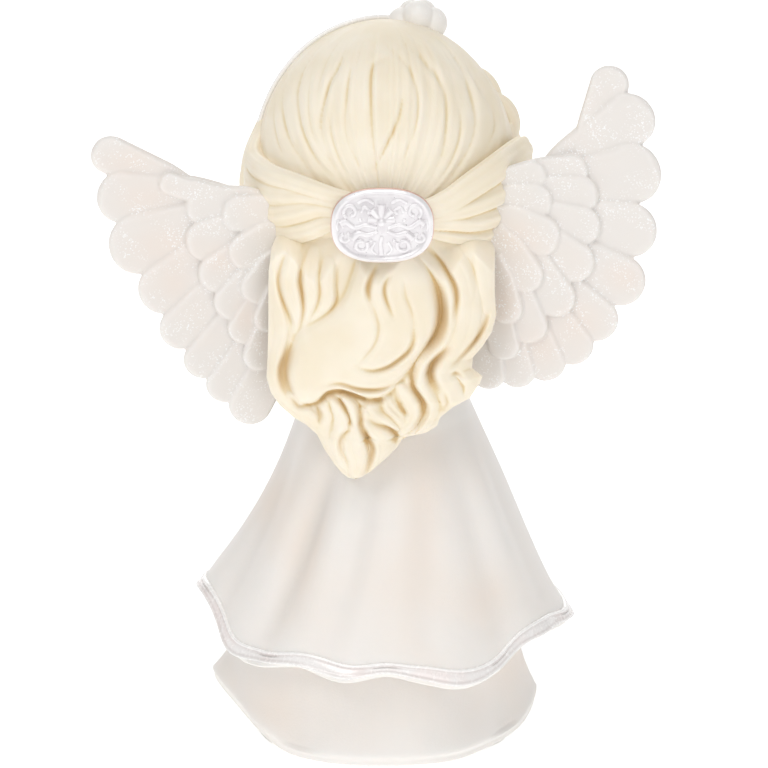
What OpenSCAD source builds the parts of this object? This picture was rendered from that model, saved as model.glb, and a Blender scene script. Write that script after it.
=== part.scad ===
// Resin angel figurine: a two-tier gown, a large head with long wavy hair, a barrette,
// a headband with a flower, folded hands and two raised feather wings.
// Every casting, pin and trim is its own solid. The figure looks towards -Y, +Z is up,
// and the origin is the centre of the felt's underside.

/* [Gown] */
// Mean radius of the underskirt where it meets the felt
foot_r = 27.5; // [26:0.5:28]
// Mean radius of the overskirt at its hem
hem_r = 33.5; // [32:0.5:35]
// Mean height of the overskirt's hem
hem_z = 20; // [19:0.5:22]
// Height of the seam between overskirt and bodice
waist_z = 66; // [64:0.5:67]
// Radius of the gown at that seam
waist_r = 15.5; // [15:0.5:16.5]
// Depth of the gown as a share of its width
gown_depth = 0.96; // [0.93:0.01:0.98]
// Width of the pearl ribbon along the hem
ribbon_w = 2.2; // [1.8:0.1:2.6]

/* [Head] */
// Half width of the hair over the head
crown_rx = 24; // [23.5:0.25:24.5]
// Half depth of the hair over the head
crown_ry = 25; // [24.5:0.25:25.5]
// Half height of the hair over the head
crown_rz = 27; // [26.5:0.25:27.5]
// Height of the middle of the head
head_z = 110; // [109.5:0.25:110.5]

/* [Barrette] */
// Half width of the barrette
barrette_rx = 9.3; // [9:0.1:10]
// Half height of the barrette
barrette_rz = 6.9; // [6.5:0.1:7.5]
// Thickness of the barrette's plate
barrette_t = 2; // [1.5:0.1:2.5]

/* [Wings] */
// Thickness of one row of feathers
feather_t = 2.4; // [2:0.1:2.8]
// Angle at which the wings sweep back from straight sideways
wing_sweep = 12; // [8:0.5:14]
// Number of long feathers in the left wing
left_feathers = 8; // [7:1:9]
// Number of long feathers in the right wing
right_feathers = 10; // [9:1:11]

/* [Base] */
// Thickness of the felt
felt_t = 1; // [0.8:0.1:1.2]

/* [Hidden] */
$fn = 48;

// Colours of the painted finishes
gown_white = [0.93, 0.91, 0.89];
pearl = [0.93, 0.90, 0.92];
blonde = [0.95, 0.90, 0.78];
skin_tone = [0.96, 0.82, 0.74];
feather_white = [0.95, 0.94, 0.92];
rose_gold = [0.86, 0.66, 0.55];
steel = [0.7, 0.7, 0.72];
felt_white = [0.85, 0.84, 0.82];

// Glue gap between a spigot or pin and its socket
glue_gap = 0.05;
// Points round a gown ring, and round a lock of hair
gown_sides = 72;
lock_sides = 10;
// Scallops round each hem, and the angle at which one of them hangs lowest
scallops = 10;
scallop_at = 78;

// Spigots that join the gown's castings
skirt_spigot_r = 9;
skirt_spigot_h = 16;
seat_z = 27;
bodice_spigot_r = 8;
bodice_spigot_h = 9;
shoulder_z = 85;

// Neck plug
neck_r = 5;
neck_z = [81, 90];

// Steel pins
dowel_r = 1.5;
dowel_z = [72, 98];
wing_pin_r = 1;
wing_pin_x = 7.5;
wing_pin_z = 77;
wing_boss_r = 4.5;
wing_boss_y = 5;
wing_plane_y = 7.5;
hair_clear_r = 27;

// Head and face
head_centre = [0, -2.5, head_z - 3];
head_r = [20.3, 20.3, 21.5];
face_opening = [17, 17.5];
face_opening_z = 101;

// --- Curves and skins ------------------------------------------------------

// A soft bump of height 1 at angle `at`, falling off over w degrees either way
function bump(a, at, w) = exp(-pow((((a - at + 540) % 360) - 180) / w, 2));

// A point on a quadratic or a cubic Bezier curve
function bezier(p, t) = len(p) == 3
    ? pow(1 - t, 2) * p[0] + 2 * t * (1 - t) * p[1] + t * t * p[2]
    : pow(1 - t, 3) * p[0] + 3 * t * pow(1 - t, 2) * p[1]
      + 3 * t * t * (1 - t) * p[2] + pow(t, 3) * p[3];

// A closed solid over rings of points, each ring counter-clockwise as seen from the last one
module skin(rings) {
    n = len(rings[0]);
    points = [for (r = rings) each r];
    sides = [
        for (i = [0:len(rings) - 2], k = [0:n - 1])
            let (k2 = (k + 1) % n, low = i * n, high = low + n)
            each [[low + k, high + k, high + k2], [low + k, high + k2, low + k2]]
    ];
    first = [for (k = [0:n - 1]) k];
    last = [for (k = [n - 1:-1:0]) (len(rings) - 1) * n + k];
    polyhedron(points, concat([first], sides, [last]), convexity = 6);
}

// Tangent of a path at point i
function tangent(path, i) =
    let (a = path[max(i - 1, 0)], b = path[min(i + 1, len(path) - 1)], d = b - a) d / norm(d);

// Rings round a path; width runs along `flat` and depth across it
function path_rings(path, widths, depths, flat, sides) = [
    for (i = [0:len(path) - 1])
        let (
            t = tangent(path, i),
            u0 = flat - (flat * t) * t,
            u = u0 / norm(u0),
            v = cross(t, u)
        )
        [for (k = [0:sides - 1])
            path[i] + widths[i] * cos(360 * k / sides) * u + depths[i] * sin(360 * k / sides) * v]
];

// A lock of hair, sleeve or hand: a tapered tube along a Bezier curve.
// It swells from `ends` to 1 in the middle, times its half width and half depth.
module lock(curve, half_w, half_d, flat, ends = [0.5, 0.2], steps = 12) {
    t = [for (i = [0:steps]) i / steps];
    swell = [for (x = t) ends[0] * (1 - x) + ends[1] * x + (1 - (ends[0] + ends[1]) / 2) * sin(180 * x)];
    skin(path_rings([for (x = t) bezier(curve, x)], half_w * swell, half_d * swell, flat, lock_sides));
}

module ellipsoid(centre, radii) {
    translate(centre) scale(radii) sphere(r = 1, $fn = 120);
}

// --- Gown ------------------------------------------------------------------

function around(r, depth, z, a) = [r * cos(a), r * sin(a) * depth, z];
function gown_ring(r, z) = [
    for (k = [0:gown_sides - 1]) let (a = 360 * k / gown_sides) around(r(a), gown_depth, z(a), a)
];

// The hem of the overskirt kicks up at the left side and a little at the right side
function hem_height(a) = hem_z - 1.2 * cos(scallops * (a - scallop_at))
    + 9 * bump(a, 0, 20) + 2.4 * bump(a, 180, 25) - bump(a, 114, 14);
function hem_radius(a) = hem_r + cos(scallops * (a - scallop_at))
    + 2 * bump(a, 0, 20) + bump(a, 180, 20);

// The underskirt's hem flares up at the left side
function foot_height(a) = felt_t + 1.2 + 0.5 * cos(7 * (a - 60)) + 7.5 * bump(a, 0, 22);
function foot_radius(a) = foot_r + 0.8 * cos(7 * (a - 60)) + 4.8 * bump(a, 0, 25) + 1.4 * bump(a, 180, 30);

module base_felt() {
    color(felt_white)
        linear_extrude(felt_t)
            polygon([for (k = [0:gown_sides - 1])
                let (a = 360 * k / gown_sides) (foot_r - 3) * [cos(a), gown_depth * sin(a)]]);
}

module underskirt() {
    top_r = 24;
    rings = concat(
        [gown_ring(function(a) foot_r - 1, function(a) felt_t)],
        [gown_ring(function(a) foot_radius(a), function(a) foot_height(a))],
        [for (s = [0.15, 0.4, 0.7, 1])
            gown_ring(function(a) foot_radius(a) * (1 - s) + top_r * s - 1.5 * sin(180 * s),
                      function(a) foot_height(a) * (1 - s) + (hem_z + 1) * s)],
        [gown_ring(function(a) waist_r + 3, function(a) seat_z)]
    );
    color(gown_white) {
        skin(rings);
        translate([0, 0, seat_z - 1]) cylinder(r = skirt_spigot_r, h = skirt_spigot_h + 1);
    }
}

module overskirt() {
    wall = 2.2;
    // s runs from 0 at the hem to 1 at the waist
    outer = [for (s = [0.04, 0.15, 0.3, 0.5, 0.75, 1])
        gown_ring(function(a) (hem_radius(a) - 1) * (1 - s) + waist_r * s - 1.2 * sin(180 * s),
                  function(a) hem_height(a) * (1 - s) + waist_z * s)];
    inner = [
        gown_ring(function(a) waist_r + 5.5, function(a) seat_z),
        gown_ring(function(a) (hem_radius(a) - wall) * 0.6 + (waist_r + 5.5) * 0.4, function(a) seat_z),
        gown_ring(function(a) hem_radius(a) - wall, function(a) hem_height(a) + 0.4),
        gown_ring(function(a) hem_radius(a) - 0.8, function(a) hem_height(a))
    ];
    color(gown_white)
        difference() {
            skin(concat(inner, outer));
            translate([0, 0, seat_z - 1])
                cylinder(r = skirt_spigot_r + glue_gap, h = skirt_spigot_h + 1.5);
            translate([0, 0, waist_z - bodice_spigot_h - 0.5])
                cylinder(r = bodice_spigot_r + glue_gap, h = bodice_spigot_h + 1);
        }
}

// The ribbon is a strip folded over the hem's edge: rings across it, joined all the way round
module hem_ribbon() {
    half = ribbon_w / 2;
    function section(a) = [
        for (k = [0:7])
            let (
                b = 45 * k,
                r = hem_radius(a) + 0.15 + 0.6 * cos(b) - 0.25 * sin(b),
                z = hem_height(a) + half * 0.75 + half * sin(b)
            )
            around(r, gown_depth, z, a)
    ];
    points = [for (k = [0:gown_sides - 1]) each section(360 * k / gown_sides)];
    faces = [
        for (i = [0:gown_sides - 1], k = [0:7])
            let (i2 = (i + 1) % gown_sides, k2 = (k + 1) % 8)
            each [[8 * i + k, 8 * i2 + k2, 8 * i2 + k], [8 * i + k, 8 * i + k2, 8 * i2 + k2]]
    ];
    color(pearl)
        difference() {
            polyhedron(points, faces, convexity = 8);
            overskirt();
        }
}

// --- Bodice, arms and neck -------------------------------------------------

module bodice() {
    // Height, half width and half depth of each section, from the waist to the neck
    sections = [[waist_z, waist_r, waist_r * gown_depth], [waist_z + 5, 14.4, 12.4],
        [waist_z + 11, 13.4, 10.6], [waist_z + 15, 11.6, 9.2], [shoulder_z - 1.5, 9, 7.8], [shoulder_z, 7, 6.6]];
    color(gown_white)
        difference() {
            union() {
                skin([for (s = sections) [for (k = [0:35]) [s[1] * cos(10 * k), s[2] * sin(10 * k), s[0]]]]);
                translate([0, 0, waist_z - bodice_spigot_h]) cylinder(r = bodice_spigot_r, h = bodice_spigot_h + 1);
            }
            translate([0, 0, dowel_z[0]]) cylinder(r = dowel_r + glue_gap, h = shoulder_z);
            neck_socket();
            for (side = [-1, 1]) {
                wing_boss(side, glue_gap);
                wing_pin(side, glue_gap);
                sleeve_shape(side);
            }
        }
}

module neck_trim() {
    color(pearl) translate([0, 0, shoulder_z + 0.75]) rotate_extrude() translate([6.2, 0]) circle(r = 0.75, $fn = 24);
}

function sleeve_curve(side) = [[side * 10.5, 0, 79], [side * 19, -3, 72], [side * 15, -15, 63], [side * 5, -19.5, 71.5]];
function wrist(side) = sleeve_curve(side)[3];
function wrist_axis(side) = let (d = sleeve_curve(side)[3] - sleeve_curve(side)[2]) d / norm(d);

module sleeve_shape(side) {
    lock(sleeve_curve(side), 5.2, 4.8, [0, 0, 1], ends = [0.8, 1.05], steps = 14);
}

// Turns +Z to direction d and moves to p
module along(p, d) {
    translate(p) rotate([0, acos(d[2]), atan2(d[1], d[0])]) children();
}

module sleeve(side) {
    color(gown_white)
        difference() {
            sleeve_shape(side);
            along(wrist(side) - 5 * wrist_axis(side), wrist_axis(side)) cylinder(r = 2.2 + glue_gap, h = 8);
        }
}

module cuff(side) {
    color(pearl) along(wrist(side) + 0.75 * wrist_axis(side), wrist_axis(side))
        rotate_extrude() translate([4.6, 0]) circle(r = 0.75, $fn = 24);
}

// A hand of the pair folded in prayer, with its wrist peg in the sleeve
module hand(side) {
    tips = [side * 0.9, -22.5, 83];
    color(skin_tone)
        difference() {
            union() {
                along(wrist(side) - 4 * wrist_axis(side), wrist_axis(side)) cylinder(r = 2.2, h = 5.5);
                lock([wrist(side) + 0.8 * wrist_axis(side), [side * 1.9, -21.5, 74.5], [side * 1.5, -22.5, 78], tips],
                     3.2, 1.7, [0, 1, 0.3], ends = [0.8, 0.5]);
            }
            translate([side > 0 ? -10 : 0.02, -40, 60]) cube([9.98, 40, 40]);
        }
}

// The neck is a plug that sits in a socket in the bodice and another in the head
module neck() {
    color(skin_tone)
        difference() {
            translate([0, 0, neck_z[0]]) cylinder(r = neck_r, h = neck_z[1] - neck_z[0]);
            translate([0, 0, neck_z[0] - 1]) cylinder(r = dowel_r + glue_gap, h = neck_z[1] - neck_z[0] + 2);
        }
}

module neck_socket() {
    translate([0, 0, neck_z[0]]) cylinder(r = neck_r + glue_gap, h = neck_z[1] - neck_z[0]);
}

module neck_dowel() {
    color(steel) translate([0, 0, dowel_z[0]]) cylinder(r = dowel_r, h = dowel_z[1] - dowel_z[0]);
}

module head() {
    color(skin_tone)
        difference() {
            ellipsoid(head_centre, head_r);
            translate([0, 0, 80]) cylinder(r = dowel_r + glue_gap, h = dowel_z[1] - 80 + 0.5);
            neck_socket();
        }
}

// --- Hair ------------------------------------------------------------------

module crown_shape(grow = 0) {
    ellipsoid([0, 0, head_z], [crown_rx + grow, crown_ry + grow, crown_rz + grow]);
}

module hair_crown() {
    color(blonde)
        difference() {
            crown_shape();
            ellipsoid(head_centre, head_r);
            translate([0, -6, face_opening_z]) rotate([90, 0, 0])
                scale([face_opening[0], face_opening[1], 1]) cylinder(r = 1, h = 30);
            translate([-40, -40, 60]) cube([80, 80, 30]);
            barrette_stud(glue_gap);
        }
}

// The long hair hangs down the back to a point left of the middle
module back_hair() {
    // Height, middle, half width, middle depth and half depth of each section
    sections = [[55.5, 6, 2.5, 22, 1.6], [59, 6, 5.5, 22, 3], [63, 3.5, 12, 21.5, 4], [70, 1.5, 18, 20.5, 5],
        [80, 1, 21, 20, 5.5], [92, 0.8, 21, 20.5, 5.5], [100, 0.5, 19, 21.5, 5], [104, 0, 14, 22, 4.2]];
    color(blonde)
        difference() {
            skin([for (s = sections) [for (k = [0:31])
                let (a = 360 * k / 32) [s[1] + s[2] * cos(a), s[3] + s[4] * sin(a), s[0]]]]);
            crown_shape();
            overskirt_outside();
            barrette_plate_shape(0.02);
            for (side = [-1, 1]) twist_shape(side);
        }
}

// The overskirt's outer surface as a solid cone, for parts that lie against it
module overskirt_outside() {
    translate([0, 0, hem_z]) scale([1, gown_depth, 1])
        cylinder(r1 = hem_r, r2 = waist_r, h = waist_z - hem_z);
}

// A rope of hair from the temple back to the barrette; side is 1 at the left
module twist_shape(side) {
    rise = side > 0 ? 0 : 5;
    lock([[side * 23.5, -3, 112 + rise], [side * 27, 8, 108 + rise], [side * 22, 20, 104], [side * 8, 25.5, 104]],
         5, 3.4, [0, 0, 1], ends = [0.6, 0.7], steps = 14);
}

module twist(side) {
    color(blonde)
        difference() {
            twist_shape(side);
            crown_shape();
            barrette_plate_shape(0.02);
        }
}

// A lock that falls past the cheek to the shoulder
module side_lock_shape(side) {
    lock([[side * 22.5, -8, 116], [side * 27, -12, 104], [side * 20, -14, 94], [side * 17.5, -11, 78]],
         4, 3.2, [0, 1, 0], ends = [0.55, 0.25], steps = 14);
}

module side_lock(side) {
    color(blonde)
        difference() {
            side_lock_shape(side);
            crown_shape();
            ellipsoid(head_centre, head_r);
            twist_shape(side);
            sleeve_shape(side);
        }
}

// The fringe parts at the top of the forehead and sweeps down to each temple
module fringe(side) {
    color(blonde)
        difference() {
            lock([[side * 1.2, -22.6, 124], [side * 9, -25.5, 121], [side * 18, -20, 116], [side * 20.5, -14, 105]],
                 4.5, 3, [0, 0.5, 1], ends = [0.35, 0.5], steps = 14);
            crown_shape();
            ellipsoid(head_centre, head_r);
            side_lock_shape(side);
            if (side > 0) translate([-20, -40, 100]) cube([20.05, 40, 40]);
            if (side < 0) translate([-0.05, -40, 100]) cube([20, 40, 40]);
        }
}

// --- Barrette --------------------------------------------------------------

barrette_centre = [0.5, 27, 105.4];

module barrette_at() {
    translate(barrette_centre) rotate([90, 0, 180]) children();
}

function oval(grow) = [
    for (k = [0:63]) let (a = 360 * k / 64) [(barrette_rx + grow) * cos(a), (barrette_rz + grow) * sin(a)]
];

module barrette_plate_shape(grow = 0) {
    barrette_at() translate([0, 0, -grow]) linear_extrude(barrette_t + 2 * grow) polygon(oval(grow));
}

module barrette_stud(grow = 0) {
    barrette_at() translate([0, 0, -5 - grow]) cylinder(r = 2.5 + grow, h = 5.5 + grow);
}

module barrette_plate() {
    color(pearl) {
        barrette_plate_shape();
        barrette_stud();
    }
}

module barrette_rim() {
    color(rose_gold)
        barrette_at()
            linear_extrude(0.8)
                difference() {
                    polygon(oval(0.55));
                    polygon(oval(0.03));
                }
}

// A five-petal flower with a scroll either side, raised on the plate
module barrette_filigree() {
    relief = 0.7;
    color(pearl)
        barrette_at() translate([0, 0, barrette_t]) linear_extrude(relief) {
            circle(r = 1);
            for (k = [0:4]) rotate(90 + 72 * k) {
                translate([2.7, 0]) circle(r = 1.1);
                polygon([[0.6, -0.5], [2.7, -1.1], [2.7, 1.1], [0.6, 0.5]]);
            }
            for (side = [-1, 1]) translate([side * 6, 0]) difference() {
                circle(r = 2.3);
                circle(r = 1.5);
                translate([-side * 2.3 - 1, -1]) square(2);
            }
        }
}

// --- Headband and flower ------------------------------------------------------

band_tilt = 16;
band_r = [crown_rx + 0.5, crown_rz + 0.5];

// A point of the band at angle a from the left side, over the top to the right
function band_point(a) = [band_r[0] * cos(a), -band_r[1] * sin(a) * sin(band_tilt),
    head_z + band_r[1] * sin(a) * cos(band_tilt)];

module band_shape() {
    angles = [for (i = [0:32]) 12 + 156 * i / 32];
    flat = [0, cos(band_tilt), sin(band_tilt)];
    width = [for (a = angles) 1.4];
    thick = [for (a = angles) 0.55];
    skin(path_rings([for (a = angles) band_point(a)], width, thick, flat, 8));
}

module headband() {
    color(pearl)
        difference() {
            band_shape();
            crown_shape();
            for (side = [-1, 1]) {
                twist_shape(side);
                side_lock_shape(side);
            }
        }
}

// A flower of five plump petals sits on the band, right of the middle
flower_centre = [-6.2, -7.5, 134.2];
flower_tilt = 50;
petal_r = 3.2;
petal_out = 2.6;

module flower_at() {
    translate(flower_centre) rotate([flower_tilt, 0, 0]) children();
}

module flower_tier(low, high, share) {
    translate([0, 0, low]) linear_extrude(high - low)
        for (k = [0:4]) rotate(18 + 72 * k) translate([petal_out * share, 0]) circle(r = petal_r * share);
}

module flower_petals() {
    color(feather_white)
        difference() {
            flower_at() {
                flower_tier(-3.5, 1, 1);
                flower_tier(1, 2.4, 0.8);
            }
            flower_heart_shape();
            crown_shape(0.02);
            band_shape();
        }
}

module flower_heart_shape() {
    flower_at() translate([0, 0, 2.4]) sphere(r = 1.9);
}

module flower_heart() {
    color(pearl) flower_heart_shape();
}

// --- Wings -----------------------------------------------------------------

// One feather: a blade that widens from its root to a round tip; `at` is the middle of that tip
module feather(at, angle, length, width, layer) {
    half = width / 2;
    translate([at[0], at[1], layer])
        rotate(angle)
            linear_extrude(feather_t) {
                circle(r = half);
                polygon([[0, -half], [0, half], [-length, half * 0.45], [-length, -half * 0.45]]);
            }
}

// A row of feathers whose tips follow a Bezier curve; their angle eases from first to last
module feather_row(tips, angles, count, length, width, layer, ease) {
    for (i = [0:count - 1]) {
        t = i / (count - 1);
        feather(bezier(tips, t), angles[0] + (angles[1] - angles[0]) * (1 - pow(1 - t, ease)),
                length, width, layer - 0.25 * t);
    }
}

// A wing is drawn flat, outwards along X and up along Y, then stood up and swept back
module wing_place(side) {
    translate([0, wing_plane_y, 0])
        rotate([0, 0, side * wing_sweep])
            mirror([side < 0 ? 1 : 0, 0, 0])
                rotate([90, 0, 0])
                    mirror([0, 0, 1])
                        children();
}

module wing_boss(side, grow = 0) {
    translate([side * wing_pin_x, wing_boss_y - grow, wing_pin_z])
        rotate([-90, 0, 0]) cylinder(r = wing_boss_r + grow, h = wing_plane_y - wing_boss_y + 2.5 + grow);
}

module wing_pin(side, grow = 0) {
    translate([side * wing_pin_x, -1 - grow, wing_pin_z])
        rotate([-90, 0, 0]) cylinder(r = wing_pin_r + grow, h = 11 + 2 * grow);
}

module wing_body(side, rows) {
    color(feather_white)
        difference() {
            union() {
                wing_place(side) {
                    children();
                    // The arm of the wing, from the shoulder blade up beside the hair
                    linear_extrude(feather_t)
                        polygon([[8, 71], [8, 84], [18, 96], [26, 110], [34, 108], [30, 90], [16, 71]]);
                }
                wing_boss(side);
            }
            wing_pin(side, glue_gap);
            // Room for the head and the hair that is gathered round it
            translate([0, 0, 91]) cylinder(r = hair_clear_r, h = 60);
        }
}

module wing_left() {
    wing_body(1) {
        feather_row([[50.3, 115.3], [48, 86], [23.5, 67]], [20, -62], left_feathers, 24, 9.2, 0, 1.8);
        feather_row([[35, 106], [33, 92], [23, 78]], [15, -62], 6, 13, 8.4, feather_t * 0.6, 1.6);
        feather_row([[30, 104], [30, 96], [22, 87]], [10, -62], 4, 9, 7, feather_t * 1.1, 1.5);
    }
}

module wing_right() {
    wing_body(-1) {
        feather_row([[42.5, 128.6], [54, 116], [48, 74], [20, 74.5]], [62, -80], right_feathers, 24, 9.4, 0, 1.9);
        feather_row([[34, 113], [43, 104], [35, 88], [24, 80]], [48, -72], 7, 13, 8.4, feather_t * 0.6, 1.7);
        feather_row([[28, 109], [33, 103], [30, 93], [23, 87]], [35, -70], 5, 9, 7, feather_t * 1.1, 1.5);
    }
}

base_felt();
underskirt();
overskirt();
hem_ribbon();
bodice();
neck_trim();
sleeve(1);  // sleeve_left
sleeve(-1);  // sleeve_right
cuff(1);  // cuff_left
cuff(-1);  // cuff_right
hand(1);  // hand_left
hand(-1);  // hand_right
neck();
neck_dowel();
head();
hair_crown();
back_hair();
twist(1);  // twist_left
twist(-1);  // twist_right
side_lock(1);  // side_lock_left
side_lock(-1);  // side_lock_right
fringe(1);  // fringe_left
fringe(-1);  // fringe_right
barrette_plate();
barrette_rim();
barrette_filigree();
headband();
flower_petals();
flower_heart();
wing_left();
wing_right();
wing_pin(1);  // wing_pin_left
wing_pin(-1);  // wing_pin_right
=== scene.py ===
import math

import bmesh
import bpy
import numpy as np
from mathutils import Matrix, Vector


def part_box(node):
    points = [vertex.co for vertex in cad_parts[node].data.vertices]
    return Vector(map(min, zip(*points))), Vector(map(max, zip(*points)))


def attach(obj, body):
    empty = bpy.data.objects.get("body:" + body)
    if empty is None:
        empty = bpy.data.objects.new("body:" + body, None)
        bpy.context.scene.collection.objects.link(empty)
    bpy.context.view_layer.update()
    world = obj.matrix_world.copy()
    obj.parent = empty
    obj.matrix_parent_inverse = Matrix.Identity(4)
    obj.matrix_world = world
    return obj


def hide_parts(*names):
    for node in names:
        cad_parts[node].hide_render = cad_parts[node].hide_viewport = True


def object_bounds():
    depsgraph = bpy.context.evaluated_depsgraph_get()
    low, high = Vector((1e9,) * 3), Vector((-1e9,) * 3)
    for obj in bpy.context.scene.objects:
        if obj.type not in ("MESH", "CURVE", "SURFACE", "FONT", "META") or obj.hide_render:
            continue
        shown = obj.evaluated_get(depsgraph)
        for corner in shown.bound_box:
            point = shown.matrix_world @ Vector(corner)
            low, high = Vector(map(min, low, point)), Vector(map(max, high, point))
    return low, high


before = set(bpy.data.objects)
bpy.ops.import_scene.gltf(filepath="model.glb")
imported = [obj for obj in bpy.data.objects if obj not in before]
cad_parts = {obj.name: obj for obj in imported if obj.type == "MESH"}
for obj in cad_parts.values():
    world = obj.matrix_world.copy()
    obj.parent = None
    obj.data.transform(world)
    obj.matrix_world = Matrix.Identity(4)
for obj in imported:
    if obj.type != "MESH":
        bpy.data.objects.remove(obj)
cad_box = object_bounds()


# Felt oval, cut from short-napped wool felt and glued under the foot.
# The whole figure stands on it.
class Value:
    """A socket's value; arithmetic on it adds Math nodes."""

    def __init__(self, paint, socket):
        self.paint, self.socket = paint, socket

    def math(self, operation, other=0.0, flipped=False):
        pair = {0: other, 1: self} if flipped else {0: self, 1: other}
        return self.paint.node("ShaderNodeMath", {"operation": operation}, pair)

    def __add__(self, other):
        return self.math("ADD", other)

    def __sub__(self, other):
        return self.math("SUBTRACT", other)

    def __rsub__(self, other):
        return self.math("SUBTRACT", other, flipped=True)

    def __mul__(self, other):
        return self.math("MULTIPLY", other)

    __radd__, __rmul__ = __add__, __mul__

    def between(self, low, high):
        """0 at low, 1 at high, eased in between."""
        settings = {"interpolation_type": "SMOOTHSTEP", "clamp": True}
        sockets = {"Value": self, "From Min": low, "From Max": high}
        return self.paint.node("ShaderNodeMapRange", settings, sockets)


class Paint:
    """A painted finish: one Principled shader and the nodes that vary it."""

    def __init__(self, name, **fixed):
        self.material = bpy.data.materials.new(name)
        self.material.use_nodes = True
        self.tree = self.material.node_tree
        self.shader = self.tree.nodes["Principled BSDF"]
        for socket, value in fixed.items():
            self.shader.inputs[socket.replace("_", " ")].default_value = value
        place = self.node("ShaderNodeTexCoord", output="Object")
        in_mm = {"Vector": place, "Scale": 1 / MM}
        self.place = self.node("ShaderNodeVectorMath", {"operation": "SCALE"}, in_mm)

    def node(self, kind, settings={}, sockets={}, output=0):
        node = self.tree.nodes.new(kind)
        for name, value in settings.items():
            setattr(node, name, value)
        for name, value in sockets.items():
            self.put(node.inputs[name], value)
        return Value(self, node.outputs[output])

    def put(self, socket, value):
        if isinstance(value, Value):
            self.tree.links.new(value.socket, socket)
        else:
            socket.default_value = value

    def vector(self, operation, first, second, output=0):
        return self.node("ShaderNodeVectorMath", {"operation": operation}, {0: first, 1: second}, output)

    def noise(self, size, detail=2.0, stretch=None):
        """Soft noise from 0 to 1 whose lumps are about size mm across."""
        place = self.place
        if stretch:
            place = self.vector("MULTIPLY", place, stretch)
        return self.node("ShaderNodeTexNoise", {}, {"Vector": place, "Scale": 1 / size, "Detail": detail})

    def mark(self, name):
        """A value that the mesh carries at each of its points."""
        return self.node("ShaderNodeAttribute", {"attribute_name": name}, output="Fac")

    def mix(self, amount, first, second):
        return self.node("ShaderNodeMix", {"data_type": "RGBA"}, {0: amount, 6: first, 7: second}, output=2)

    def bump(self, height, depth_mm):
        return self.node("ShaderNodeBump", {}, {"Height": height, "Distance": depth_mm * MM, "Strength": 1.0})

    def feed(self, **sockets):
        for name, value in sockets.items():
            self.put(self.shader.inputs[name.replace("_", " ")], value)
        return self.material


MM = 0.001


def tint(red, green, blue):
    """A colour given as it looks on a screen, 0 to 255, made linear for the shader."""
    return tuple((c / 255) ** 2.2 for c in (red, green, blue)) + (1.0,)


def add_mesh(name, points, faces):
    """A smooth mesh object from points in millimetres."""
    mesh = bpy.data.meshes.new(name)
    mesh.from_pydata((np.asarray(points) * MM).tolist(), [], [tuple(map(int, f)) for f in faces])
    mesh.validate()
    shell = bmesh.new()
    shell.from_mesh(mesh)
    bmesh.ops.remove_doubles(shell, verts=shell.verts, dist=1e-7)
    bmesh.ops.recalc_face_normals(shell, faces=shell.faces)
    shell.to_mesh(mesh)
    shell.free()
    mesh.polygons.foreach_set("use_smooth", np.ones(len(mesh.polygons), dtype=bool))
    piece = bpy.data.objects.new(name, mesh)
    bpy.context.scene.collection.objects.link(piece)
    return piece


def grid_faces(rows, columns):
    """Quads over rows of points, each row a closed ring."""
    r = np.arange(rows - 1)[:, None]
    c = np.arange(columns)[None, :]
    after = (c + 1) % columns
    low, high = r * columns, (r + 1) * columns
    quads = np.stack([low + c, low + after, high + after, high + c], axis=-1)
    return quads.reshape(-1, 4).tolist()


def finish_piece(piece, nodes, material):
    """Fixes a piece to the figure, in place of its plain solid, in its own finish."""
    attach(piece, "root")
    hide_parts(*nodes)
    piece.data.materials.clear()
    piece.data.materials.append(material)


felt = Paint("wool_felt", Roughness=0.95, Sheen_Weight=0.4)
nap = felt.noise(0.25, 6)
tufts = felt.noise(2.5, 3)
felt_colour = felt.mix(nap * 0.6 + tufts * 0.4, tint(205, 202, 196), tint(240, 238, 233))
felt.feed(Base_Color=felt_colour, Normal=felt.bump(nap + tufts * 0.5, 0.25))

foot_low, foot_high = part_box("base_felt")
felt_half = (foot_high - foot_low) / 2 / MM
felt_rounds = np.radians(np.arange(0, 360, 3))
# Height and share of the full outline of each ring, from the underside's middle up
felt_profile = [
    (0.0, 0.0), (0.0, 0.6), (0.0, 0.97), (0.12, 0.99), (0.5, 1.0),
    (0.9, 0.99), (1.0, 0.97), (1.0, 0.5), (1.0, 0.0),
]
felt_points = []
for height, share in felt_profile:
    ragged = 1 + 0.004 * np.sin(17 * felt_rounds) * (share > 0.9)
    x = felt_half.x * share * ragged * np.cos(felt_rounds)
    y = felt_half.y * share * ragged * np.sin(felt_rounds)
    felt_points.append(np.stack([x, y, np.full_like(x, height * felt_half.z * 2)], axis=1))
felt_faces = grid_faces(len(felt_profile), len(felt_rounds))
base_felt = add_mesh("base_felt_pad", np.concatenate(felt_points), felt_faces)
finish_piece(base_felt, ["base_felt"], felt.material)


# Underskirt: the casting that carries everything, satin white paint over resin.
# Its hem is a thick rolled edge that lifts at the left side.
def round_curve(stations, values):
    """A smooth closed curve through values at angles (degrees), as a function of angle."""
    stations = np.asarray(stations, float)
    values = np.asarray(values, float)
    x = np.concatenate([stations - 360, stations, stations + 360])
    y = np.tile(values, 3)
    slope = np.gradient(y, x)

    def curve(angle):
        a = np.mod(angle, 360)
        i = np.clip(np.searchsorted(x, a, side="right") - 1, 0, len(x) - 2)
        gap = x[i + 1] - x[i]
        t = (a - x[i]) / gap
        ends = y[i] * (1 + 2 * t) * (1 - t) ** 2 + y[i + 1] * t * t * (3 - 2 * t)
        return ends + gap * (slope[i] * t * (1 - t) ** 2 + slope[i + 1] * t * t * (t - 1))

    return curve


def ease(t):
    t = np.clip(t, 0, 1)
    return t * t * (3 - 2 * t)


def round_points(angle, radius, height, depth):
    """Points at angles, radii and heights in mm; depth squeezes them front to back."""
    a = np.radians(angle)
    return np.stack([radius * np.cos(a), radius * np.sin(a) * depth, height + 0 * a], axis=-1)


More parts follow.
